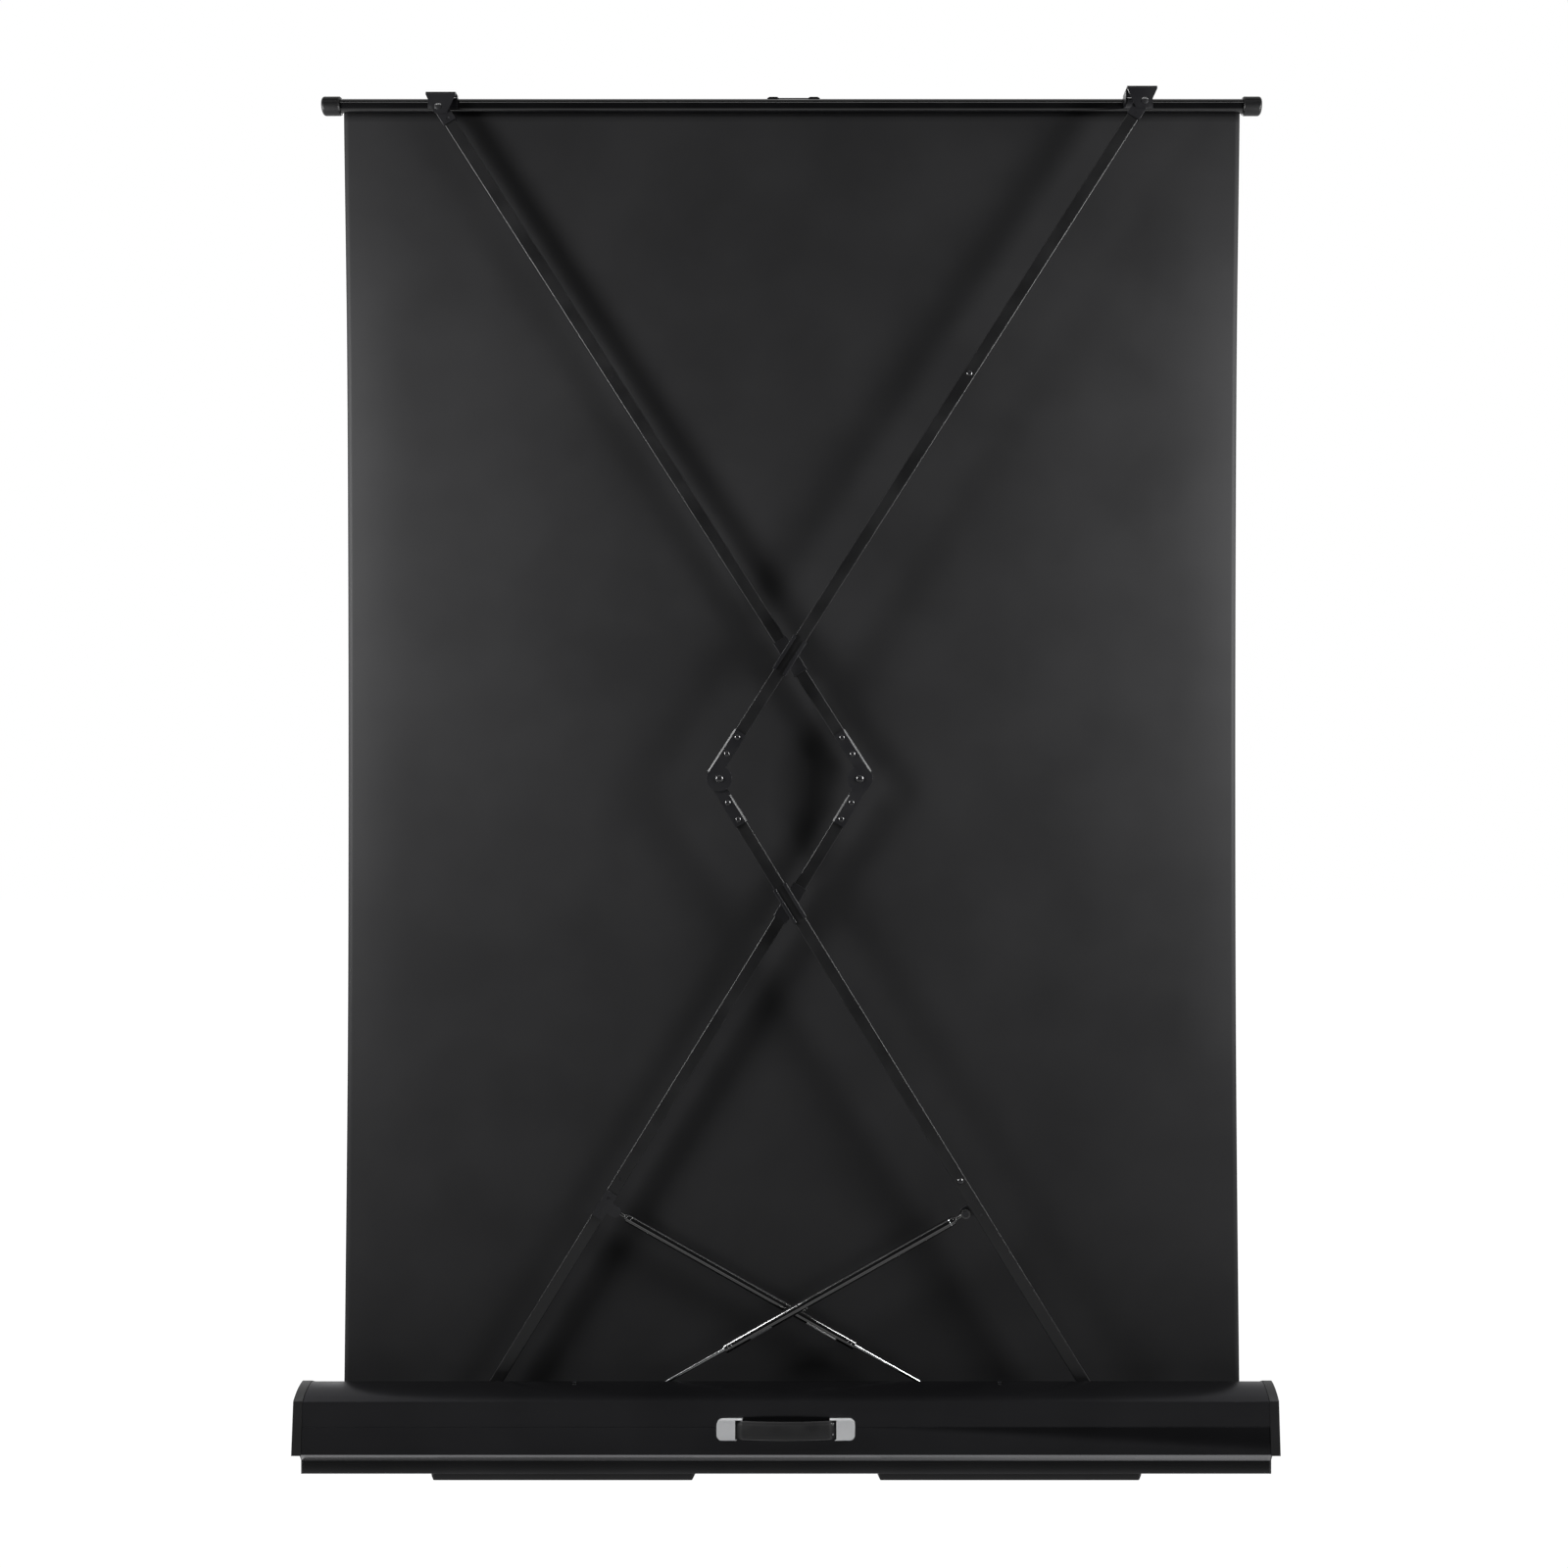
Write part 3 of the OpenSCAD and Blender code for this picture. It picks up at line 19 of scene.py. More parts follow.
import bmesh
import bpy
import numpy as np
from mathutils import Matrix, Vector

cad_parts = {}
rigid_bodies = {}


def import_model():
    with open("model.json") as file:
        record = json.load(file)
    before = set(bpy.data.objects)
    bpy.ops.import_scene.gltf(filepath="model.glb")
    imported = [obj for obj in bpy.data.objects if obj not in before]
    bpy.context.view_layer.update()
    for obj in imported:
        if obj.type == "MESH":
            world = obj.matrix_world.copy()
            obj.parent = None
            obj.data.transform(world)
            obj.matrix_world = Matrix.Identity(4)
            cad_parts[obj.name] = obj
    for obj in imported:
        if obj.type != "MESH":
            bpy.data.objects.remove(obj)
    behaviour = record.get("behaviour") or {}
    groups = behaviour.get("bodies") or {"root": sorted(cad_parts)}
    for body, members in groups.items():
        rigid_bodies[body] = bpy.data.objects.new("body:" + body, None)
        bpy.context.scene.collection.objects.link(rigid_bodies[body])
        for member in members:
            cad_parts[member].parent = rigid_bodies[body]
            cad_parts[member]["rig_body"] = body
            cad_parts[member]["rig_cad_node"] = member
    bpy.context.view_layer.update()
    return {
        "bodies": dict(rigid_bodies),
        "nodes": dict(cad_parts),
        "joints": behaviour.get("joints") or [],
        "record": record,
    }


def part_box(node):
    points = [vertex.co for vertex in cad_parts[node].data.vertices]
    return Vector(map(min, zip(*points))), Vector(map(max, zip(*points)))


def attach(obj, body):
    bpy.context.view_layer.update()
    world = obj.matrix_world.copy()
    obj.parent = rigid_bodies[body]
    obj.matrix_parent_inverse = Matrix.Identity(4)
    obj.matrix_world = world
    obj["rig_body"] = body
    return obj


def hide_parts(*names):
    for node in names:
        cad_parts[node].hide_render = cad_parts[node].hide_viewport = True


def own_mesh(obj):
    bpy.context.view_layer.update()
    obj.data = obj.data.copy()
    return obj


LOG = logging.getLogger("projection_screen")
MM = 0.001
FRAME_PX = 1600.0

Array = np.ndarray
Vec3 = tuple[float, float, float]
Node = bpy.types.Node
Piece = bpy.types.Object
Socket = bpy.types.NodeSocket
Tree = bpy.types.NodeTree


# ---- Small helpers ----


def linear(hex_colour: str) -> tuple[float, float, float, float]:
    """Turns an sRGB hex colour into linear red, green, blue and alpha.

    Args:
        hex_colour: Six hex digits after a hash sign.

    Returns:
        The four linear values, alpha being 1.
    """
    digits = hex_colour.lstrip("#")
    srgb = np.array([int(digits[i : i + 2], 16) for i in (0, 2, 4)]) / 255.0
    low, high = srgb / 12.92, ((srgb + 0.055) / 1.055) ** 2.4
    red, green, blue = np.where(srgb <= 0.04045, low, high)
    return float(red), float(green), float(blue), 1.0


def add(tree: Tree, kind: str, inputs: Mapping[str | int, Any] | None = None, **settings: Any) -> Node:
    """Adds a node, sets its properties, and fills or links its inputs.

    Args:
        tree: The node tree that gets the node.
        kind: The node's Blender type name.
        inputs: Values or sockets for the node's inputs, by name or number.
        **settings: Properties of the node.

    Returns:
        The new node.
    """
    node = tree.nodes.new(kind)
    for name, value in settings.items():
        setattr(node, name, value)
    for key, value in (inputs or {}).items():
        if isinstance(value, bpy.types.NodeSocket):
            tree.links.new(value, node.inputs[key])
        else:
            node.inputs[key].default_value = value
    return node


def grid_mesh(name: str, points: Array, wrap_u: bool = False, wrap_v: bool = False) -> Piece:
    """Puts a grid of points into a mesh of quads, one quad for each cell of the grid.

    Args:
        name: Name of the new object.
        points: Array of shape (rows, columns, 3), in metres.
        wrap_u: Whether the last row joins the first.
        wrap_v: Whether the last column joins the first.

    Returns:
        The object, smooth shaded, linked to the scene.
    """
    rows, columns = points.shape[:2]
    u = np.arange(rows if wrap_u else rows - 1)
    v = np.arange(columns if wrap_v else columns - 1)
    uu, vv = np.meshgrid(u, v, indexing="ij")
    un, vn = (uu + 1) % rows, (vv + 1) % columns
    corners = [uu * columns + vv, un * columns + vv, un * columns + vn, uu * columns + vn]
    return mesh_object(name, points.reshape(-1, 3), np.stack(corners, axis=-1).reshape(-1, 4))


def mesh_object(name: str, points: Array, quads: Array) -> Piece:
    """Makes a mesh object from whole arrays of points and quads.

    Args:
        name: Name of the new object.
        points: Array of shape (n, 3).
        quads: Array of shape (m, 4) with the point numbers of each face.

    Returns:
        The object, smooth shaded, linked to the scene.
    """
    mesh = bpy.data.meshes.new(name)
    mesh.vertices.add(len(points))
    mesh.vertices.foreach_set("co", np.ascontiguousarray(points, dtype=np.float32).ravel())
    mesh.loops.add(quads.size)
    mesh.loops.foreach_set("vertex_index", np.ascontiguousarray(quads, dtype=np.int32).ravel())
    mesh.polygons.add(len(quads))
    mesh.polygons.foreach_set("loop_start", np.arange(0, quads.size, 4, dtype=np.int32))
    mesh.update(calc_edges=True)
    mesh.validate()
    mesh.polygons.foreach_set("use_smooth", np.ones(len(mesh.polygons), dtype=bool))
    made = bpy.data.objects.new(name, mesh)
    bpy.context.scene.collection.objects.link(made)
    return made


def close_ends(piece: Piece) -> None:
    """Merges a piece's doubles, fills each open rim and turns all its faces outwards."""
    work = bmesh.new()
    work.from_mesh(piece.data)
    bmesh.ops.remove_doubles(work, verts=work.verts, dist=1e-7)
    rims = [edge for edge in work.edges if edge.is_boundary]
    if rims:
        bmesh.ops.holes_fill(work, edges=rims, sides=0)
    bmesh.ops.recalc_face_normals(work, faces=work.faces)
    work.to_mesh(piece.data)
    work.free()


def smooth_below(piece: Piece, degrees: float = 32.0) -> None:
    """Shades a piece smoothly, with sharp edges where its faces meet at more than the angle given."""
    mesh = piece.data
    mesh.polygons.foreach_set("use_smooth", np.ones(len(mesh.polygons), dtype=bool))
    mesh.set_sharp_from_angle(angle=math.radians(degrees))


def thicken(piece: Piece, thick_mm: float) -> None:
    """Gives a sheet its thickness, half of it to each side."""
    solid = piece.modifiers.new("thickness", "SOLIDIFY")
    solid.thickness = thick_mm * MM
    solid.offset = 0.0


# ---- Finishes ----


def per_mm(size_mm: float) -> float:
    """Scale of a texture whose blots or cells are about size_mm wide, on coordinates in metres."""
    return 1000.0 / size_mm


@dataclass(frozen=True)
class Relief:
    """Unevenness of a surface.

    Attributes:
        pattern: Socket with the pattern, from 0 to 1.
        strength: How much of it shows.
        depth_mm: Its depth.
    """

    pattern: Socket
    strength: float
    depth_mm: float


@dataclass(frozen=True)
class Finish(ABC):
    """A real surface: what it is made of and how it was made.

    Attributes:
        name: Name of the material.
        dark: Hex colour of its darkest places.
        light: Hex colour of its lightest places.
    """

    name: str
    dark: str
    light: str

    @abstractmethod
    def lay(self, tree: Tree, place: Socket) -> Node:
        """Adds this finish's patterns and shader to a tree.

        Args:
            tree: The material's node tree.
            place: Socket with the place on the piece, in metres.

        Returns:
            The shader node.
        """

    def skin(
        self,
        tree: Tree,
        tone: Socket,
        gloss: Socket,
        rough: tuple[float, float],
        relief: Relief,
        even: Mapping[str, float],
        span: tuple[float, float] = (0.35, 0.65),
    ) -> Node:
        """Joins the patterns of this finish into its shader.

        Args:
            tree: The material's node tree.
            tone: Pattern from 0 to 1 that the colour follows.
            gloss: Pattern that the roughness follows, most of it from 0.3 to 0.7.
            rough: Roughness where that pattern is 0.3, and where it is 0.7.
            relief: The surface's unevenness.
            even: Values of the shader that are the same all over, by socket.
            span: Values of the tone for the dark and for the light colour.

        Returns:
            The shader node.
        """
        ramp = add(tree, "ShaderNodeValToRGB", {"Fac": tone})
        for stop, value, colour in zip(ramp.color_ramp.elements, span, (self.dark, self.light), strict=True):
            stop.position, stop.color = value, linear(colour)
        roughness = add(
            tree,
            "ShaderNodeMapRange",
            {"Value": gloss, "From Min": 0.3, "From Max": 0.7, "To Min": rough[0], "To Max": rough[1]},
        )
        bump = add(
            tree,
            "ShaderNodeBump",
            {"Height": relief.pattern, "Strength": relief.strength, "Distance": relief.depth_mm * MM},
        )
        patterns = {
            "Base Color": ramp.outputs["Color"],
            "Roughness": roughness.outputs["Result"],
            "Normal": bump.outputs[0],
        }
        return add(tree, "ShaderNodeBsdfPrincipled", {**patterns, **even})

    def material(self) -> bpy.types.Material:
        """Makes the Blender material, or returns it if it was made before."""
        known = bpy.data.materials.get(self.name)
        if known is not None:
            return known
        made = bpy.data.materials.new(self.name)
        made.use_nodes = True
        tree = made.node_tree
        tree.nodes.clear()
        place = add(tree, "ShaderNodeTexCoord").outputs["Object"]
        shader = self.lay(tree, place)
        add(tree, "ShaderNodeOutputMaterial", {"Surface": shader.outputs[0]})
        return made


@dataclass(frozen=True)
class CoatedCloth(Finish):
    """Polyester cloth with a calendered black PVC coat: matt, with the weave just telling through it.

    The threads are 0.6 mm apart and the weave is drawn 10 mm apart, so that it shows. The calender rolls
    leave a slow mottle.
    """

    weave_mm: float = 10.0531
    mottle_mm: float = 180.0

    def lay(self, tree: Tree, place: Socket) -> Node:
        """Adds two crossed thread waves and a mottle.

        A band texture of scale 1 has 20 / (2 pi) waves in each unit of length.
        """
        cloud = {"Vector": place, "Scale": per_mm(self.mottle_mm), "Detail": 3.0}
        mottle = add(tree, "ShaderNodeTexNoise", cloud).outputs[0]
        bands = per_mm(self.weave_mm) * 2 * math.pi / 20
        wave = {"Vector": place, "Scale": bands, "Distortion": 0.6, "Detail": 1.0}
        weft, warp = (
            add(tree, "ShaderNodeTexWave", wave, bands_direction=axis).outputs["Fac"] for axis in ("X", "Z")
        )
        weave = add(tree, "ShaderNodeMath", {0: weft, 1: warp}, operation="MULTIPLY").outputs[0]
        even = {"IOR": 1.46, "Specular IOR Level": 0.24}
        return self.skin(tree, mottle, mottle, (0.58, 0.64), Relief(weave, 0.16, 0.12), even)


@dataclass(frozen=True)
class ProjectionCoat(Finish):
    """Matt white PVC projection coat: embossed with a fine grain so that it gives light back evenly.

    The grain is finer than 0.5 mm and is drawn 2 mm coarse, so that it shows.
    """

    grain_mm: float = 2.0
    tone_mm: float = 240.0

    def lay(self, tree: Tree, place: Socket) -> Node:
        """Adds the embossed grain and a slow change of tone."""
        cloud = {"Vector": place, "Scale": per_mm(self.tone_mm), "Detail": 2.0}
        tone = add(tree, "ShaderNodeTexNoise", cloud).outputs[0]
        cells = {"Vector": place, "Scale": per_mm(self.grain_mm)}
        grain = add(tree, "ShaderNodeTexVoronoi", cells).outputs["Distance"]
        return self.skin(tree, tone, grain, (0.82, 0.9), Relief(grain, 0.12, 0.1), {"IOR": 1.45})


@dataclass(frozen=True)
class PowderCoat(Finish):
    """Polyester powder coat baked on metal: even colour with a slight orange peel and a soft gloss."""

    rough: float = 0.4
    peel_mm: float = 2.2
    cloud_mm: float = 60.0
    gloss: float = 0.5

    def lay(self, tree: Tree, place: Socket) -> Node:
        """Adds the orange peel as a bump and a cloudy change of gloss."""
        waves = {"Vector": place, "Scale": per_mm(self.peel_mm), "Detail": 2.0}
        peel = add(tree, "ShaderNodeTexNoise", waves).outputs[0]
        clouds = {"Vector": place, "Scale": per_mm(self.cloud_mm), "Detail": 3.0}
        cloud = add(tree, "ShaderNodeTexNoise", clouds).outputs[0]
        rough = (self.rough - 0.05, self.rough + 0.05)
        even = {"IOR": 1.5, "Specular IOR Level": self.gloss}
        return self.skin(tree, cloud, cloud, rough, Relief(peel, 0.12, 0.15), even)


@dataclass(frozen=True)
class AnodisedExtrusion(Finish):
    """Black anodised aluminium extrusion: a satin metal skin with faint die lines along its length."""

    rough: float
    metal: float
    line_mm: float = 1.2
    tone_mm: float = 150.0
    stretch: Vec3 = (0.012, 1.0, 1.0)

    def lay(self, tree: Tree, place: Socket) -> Node:
        """Adds die lines: a noise that is fine across the extrusion and stretched along X."""
        along = add(tree, "ShaderNodeMapping", {"Vector": place, "Scale": self.stretch}).outputs[0]
        scratches = {"Vector": along, "Scale": per_mm(self.line_mm), "Detail": 3.0}
        lines = add(tree, "ShaderNodeTexNoise", scratches).outputs[0]
        cloud = {"Vector": place, "Scale": per_mm(self.tone_mm), "Detail": 2.0}
        tone = add(tree, "ShaderNodeTexNoise", cloud).outputs[0]
        rough = (self.rough - 0.015, self.rough + 0.02)
        return self.skin(tree, tone, lines, rough, Relief(lines, 0.03, 0.04), {"Metallic": self.metal})


@dataclass(frozen=True)
class MouldedPlastic(Finish):
    """Injection moulded ABS: spark eroded grain from the tool, a little shine on the high spots."""

    rough: float
    grain_mm: float = 0.9
    tone_mm: float = 40.0
    gloss: float = 0.5

    def lay(self, tree: Tree, place: Socket) -> Node:
        """Adds the tool's grain as a bump, with a slow change of tone."""
        cells = {"Vector": place, "Scale": per_mm(self.grain_mm)}
        grain = add(tree, "ShaderNodeTexVoronoi", cells).outputs["Distance"]
        cloud = {"Vector": place, "Scale": per_mm(self.tone_mm), "Detail": 3.0}
        tone = add(tree, "ShaderNodeTexNoise", cloud).outputs[0]
        rough = (self.rough - 0.06, self.rough + 0.06)
        even = {"IOR": 1.53, "Specular IOR Level": self.gloss}
        return self.skin(tree, tone, grain, rough, Relief(grain, 0.14, 0.08), even)


@dataclass(frozen=True)
class GlossPaint(Finish):
    """Stoved gloss enamel: deep colour under a clear, nearly level surface."""

    rough: float
    ior: float = 1.5
    coat: float = 0.35
    ripple_mm: float = 9.0
    tone_mm: float = 90.0

    def lay(self, tree: Tree, place: Socket) -> Node:
        """Adds the long waves of the enamel and a thin clear coat."""
        ripples = {"Vector": place, "Scale": per_mm(self.ripple_mm), "Detail": 2.0}
        ripple = add(tree, "ShaderNodeTexNoise", ripples).outputs[0]
        cloud = {"Vector": place, "Scale": per_mm(self.tone_mm), "Detail": 2.0}
        tone = add(tree, "ShaderNodeTexNoise", cloud).outputs[0]
        rough = (self.rough - 0.03, self.rough + 0.05)
        even = {"IOR": self.ior, "Coat Weight": self.coat, "Coat Roughness": 0.08}
        return self.skin(tree, tone, tone, rough, Relief(ripple, 0.05, 0.1), even)


@dataclass(frozen=True)
class BareMetal(Finish):
    """A bare or plated metal, told apart by its colour, its grain and how rough it is left.

    Attributes:
        rough: Its roughness.
        grain_mm: Width of the grain.
        stretch: Scale of the grain on each axis, less than 1 along the way that the metal was drawn.
        depth_mm: Depth of the grain.
    """

    rough: float
    grain_mm: float
    stretch: Vec3 = (1.0, 1.0, 1.0)
    depth_mm: float = 0.03

    def lay(self, tree: Tree, place: Socket) -> Node:
        """Adds the metal's grain as colour, bump and roughness."""
        drawn = add(tree, "ShaderNodeMapping", {"Vector": place, "Scale": self.stretch}).outputs[0]
        cloud = {"Vector": drawn, "Scale": per_mm(self.grain_mm), "Detail": 3.0}
        grain = add(tree, "ShaderNodeTexNoise", cloud).outputs[0]
        rough = (self.rough * 0.8, self.rough * 1.25)
        relief = Relief(grain, 0.1, self.depth_mm)
        return self.skin(tree, grain, grain, rough, relief, {"Metallic": 1.0}, span=(0.3, 0.7))


@dataclass(frozen=True)
class MouldedRubber(Finish):
    """Moulded PVC rubber: soft black with a leather-like press grain and a dull bloom."""

    grain_mm: float = 1.1
    bloom_mm: float = 25.0

    def lay(self, tree: Tree, place: Socket) -> Node:
        """Adds the press grain, and the bloom as a change of roughness."""
        cells = {"Vector": place, "Scale": per_mm(self.grain_mm)}
        grain = add(tree, "ShaderNodeTexVoronoi", cells).outputs["Distance"]
        cloud = {"Vector": place, "Scale": per_mm(self.bloom_mm), "Detail": 3.0}
        bloom = add(tree, "ShaderNodeTexNoise", cloud).outputs[0]
        relief = Relief(grain, 0.2, 0.1)
        return self.skin(tree, bloom, bloom, (0.46, 0.6), relief, {"IOR": 1.5}, span=(0.3, 0.7))


class Finishes(Enum):
    """The finishes of this screen's pieces."""

    CLOTH = CoatedCloth("black_pvc_coated_cloth", "#202021", "#252526")
    WHITE = ProjectionCoat("matt_white_projection_coat", "#eeeeeb", "#f0f0ee")
    CASE = AnodisedExtrusion("black_anodised_case", "#2c2c2e", "#303032", rough=0.24, metal=0.85)
    RAIL = AnodisedExtrusion("black_anodised_base", "#121213", "#171718", rough=0.26, metal=0.8)
    ARM = PowderCoat("black_powder_coated_arm", "#121213", "#171718")
    PLATE = PowderCoat("black_powder_coated_plate", "#17171a", "#1e1e20", peel_mm=1.6)
    FOOT = PowderCoat("black_powder_coated_foot", "#09090a", "#0d0d0e", rough=0.44, gloss=0.1)
    BAR = GlossPaint("black_stoved_bar", "#09090a", "#0d0d0e", rough=0.14)
    STRUT = GlossPaint("black_gas_spring_tube", "#070708", "#0a0a0b", rough=0.12, ior=1.9, coat=1.0)
    CAP = MouldedPlastic("moulded_black_end_cap", "#111112", "#161617", rough=0.55, gloss=0.3)
    PLUG = MouldedPlastic("moulded_black_plug", "#0c0c0d", "#101011", rough=0.4, grain_mm=0.7, gloss=0.3)
    RUBBER = MouldedRubber("moulded_strap_rubber", "#161617", "#1f1f20")
    HANDLE = PowderCoat("silver_lacquered_handle", "#c9cacc", "#d6d7d8", rough=0.32, peel_mm=1.2)
    RIVET = GlossPaint("black_lacquered_rivet", "#1d1d1f", "#242426", rough=0.15)
    PIVOT = GlossPaint("black_lacquered_pivot", "#1d1d1f", "#242426", rough=0.24, ior=2.4, coat=1.0)
    CHROME = BareMetal("hard_chromed_rod", "#b9bbbd", "#cccecf", rough=0.16, grain_mm=0.5, depth_mm=0.01)
    ZINC = BareMetal("zinc_plated_steel", "#8d9092", "#a9acae", rough=0.3, grain_mm=3.0)
    SPRING = BareMetal("oiled_spring_steel", "#3c3d40", "#55565a", 0.35, 1.5, stretch=(0.05, 1.0, 1.0))
    DRAWN = BareMetal("drawn_aluminium_tube", "#a3a5a8", "#b9bbbd", 0.32, 1.0, stretch=(0.02, 1.0, 1.0))
    LABEL = MouldedPlastic("plain_vinyl_strip", "#f0f1f2", "#f7f7f7", rough=0.4, grain_mm=1.5)
    # The right tube's strip is the same vinyl strip as the white one, coloured grey as painted shade for the
    # dim line on that tube.
    PAINTED_SHADE_LABEL = MouldedPlastic("vinyl_strip_in_painted_shade", "#5a5b5d", "#66676a", rough=0.5, grain_mm=1.5)

    def dress(self, piece: Piece) -> None:
        """Gives a piece this finish and no other."""
        piece.data.materials.clear()
        piece.data.materials.append(self.value.material())


# ---- Pieces that keep the solid's shape ----


@dataclass
class Dresser:
    """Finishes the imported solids, and breaks the sharp edges of those that show.

    Attributes:
        body_of: Name of the body that each node rides on.
        slot_of: Name of each node's material slot in the record.
    """

    frame: Mapping[str, Any]
    body_of: dict[str, str] = field(init=False)
    slot_of: dict[str, str] = field(init=False)

    def __post_init__(self) -> None:
        """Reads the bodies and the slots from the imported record."""
        record = self.frame["record"]
        bodies = record["behaviour"]["bodies"]
        self.body_of = {node: body for body, nodes in bodies.items() for node in nodes}
        self.slot_of = {row["node"]: row["material_slot"] for row in record["subparts"]}

    def paint(self, nodes: Iterable[str], finish: Finishes) -> None:
        """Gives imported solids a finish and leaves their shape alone."""
        for node in nodes:
            finish.dress(self.frame["nodes"][node])
            LOG.info("%s: %s", node, finish.value.name)

    def soften(
        self, nodes: Iterable[str], finish: Finishes, edge_mm: float = 0.0, angle: float = 32.0
    ) -> None:
        """Stands a copy with broken edges in for each solid.

        The copy's doubles are merged, flat faces are joined again, and its sharp edges get a bevel.

        Args:
            nodes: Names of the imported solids.
            finish: Finish of the copies.
            edge_mm: Width of the broken edges, or 0 for none.
            angle: Edges that turn by more than this, in degrees, are broken.
        """
        for node in nodes:
            piece = self.frame["nodes"][node].copy()
            piece.data = piece.data.copy()
            piece.name = f"{node}_finished"
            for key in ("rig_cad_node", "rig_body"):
                del piece[key]
            piece.parent = None
            bpy.context.scene.collection.objects.link(piece)
            self._merge(piece)
            if edge_mm > 0:
                bevel = piece.modifiers.new("broken_edges", "BEVEL")
                bevel.width = edge_mm * MM
                bevel.segments = 2
                bevel.limit_method = "ANGLE"
                bevel.angle_limit = math.radians(angle)
                bevel.use_clamp_overlap = True
                bevel.harden_normals = True
            finish.dress(piece)
            smooth_below(piece)
            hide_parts(node)
            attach(piece, self.body_of[node])
            LOG.info("%s: %s, edges %.1f mm", piece.name, finish.value.name, edge_mm)

    @staticmethod
    def _merge(piece: Piece) -> None:
        """Merges a loose triangle mesh and joins its flat faces."""
        work = bmesh.new()
        work.from_mesh(piece.data)
        bmesh.ops.remove_doubles(work, verts=work.verts, dist=2e-6)
        bmesh.ops.dissolve_degenerate(work, edges=work.edges, dist=1e-6)
        bmesh.ops.dissolve_limit(
            work,
            angle_limit=math.radians(0.6),
            verts=work.verts,
            edges=work.edges,
            use_dissolve_boundaries=False,
        )
        work.to_mesh(piece.data)
        work.free()


# ---- Cloth ----


@dataclass
class Screen:
    """The taut cloth: black coated backing and, on the far side, the white projection coat.

    Attributes:
        curl_mm: How far each side edge curls towards the projection side.
        curl_width: Width of the strip that curls.
        curl_start: Share of the height over which the curl grows above the roller.
        curl_end: Share of the height over which it fades below the bar.
        waist: How far each side edge draws in at half height, as in the solid.
        drop: How far the top bar comes down as the frame folds; not used.
        backing_mm: Thickness of the black backing.
        coat_mm: Thickness of the white coat.
        columns: Points across the cloth.
        rows: Points up the cloth.
    """

    curl_mm: float = 6.0
    curl_width: float = 0.1
    curl_start: float = 0.35
    curl_end: float = 0.2
    waist: float = 0.006
    drop: float = 2.1322
    backing_mm: float = 0.5
    coat_mm: float = 0.3
    columns: int = 181
    rows: int = 121

    def build(self) -> None:
        """Makes both sheets."""
        self._sheet("cloth_backing", "screen_cloth", Finishes.CLOTH, self.backing_mm)
        self._sheet("cloth_front_coat", "projection_surface", Finishes.WHITE, self.coat_mm)

    def _sheet(self, name: str, node: str, finish: Finishes, thick_mm: float) -> None:
        """Makes one sheet in the place of its solid.

        Along u the sheet runs from the edge at -X to the edge at +X and along v from the roller to the bar.
        Each half width is the widest one less waist times 1 - (2v - 1)^2. The depth is the solid's middle
        plane less the curl, so that the white coat bends with the backing that carries it.

        Args:
            name: Name of the piece.
            node: The solid that it stands for.
            finish: Its finish.
            thick_mm: Its thickness.
        """
        low, high = (np.array(corner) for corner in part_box(node))
        middle, half = (low[0] + high[0]) / 2, (high[0] - low[0]) / 2
        u, v = np.linspace(-1, 1, self.columns), np.linspace(0, 1, self.rows)
        uu, vv = np.meshgrid(u, v, indexing="ij")
        arc = 1 - (2 * vv - 1) ** 2
        x = middle + uu * (half - self.waist * arc)
        z = low[2] + vv * (high[2] - low[2])
        y = (low[1] + high[1]) / 2 - self._curl(x, z)
        piece = grid_mesh(name, np.stack([x, y, z], axis=-1))
        thicken(piece, thick_mm)
        finish.dress(piece)
        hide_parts(node)
        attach(piece, "case")
        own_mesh(piece)

    def _curl(self, x: Array, z: Array) -> Array:
        """How far the cloth stands off its plane, towards the projection side.

        The curl grows with the square of how far a point lies within curl_width of the backing's edge. It
        fades to nothing at the roller and at the bar, where the cloth is held flat.

        Args:
            x: Places across the cloth.
            z: Heights on the cloth.

        Returns:
            Distances of the same shape.
        """
        low, high = (np.array(corner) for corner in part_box("screen_cloth"))
        middle, half = (low[0] + high[0]) / 2, (high[0] - low[0]) / 2
        v = (z - low[2]) / (high[2] - low[2])
        edge = half - self.waist * (1 - (2 * v - 1) ** 2)
        near = np.clip(1 - (edge - np.abs(x - middle)) / self.curl_width, 0, 1)
        free = np.clip(np.minimum(v / self.curl_start, (1 - v) / self.curl_end), 0, 1)
        return self.curl_mm * MM * near**2 * free * free * (3 - 2 * free)


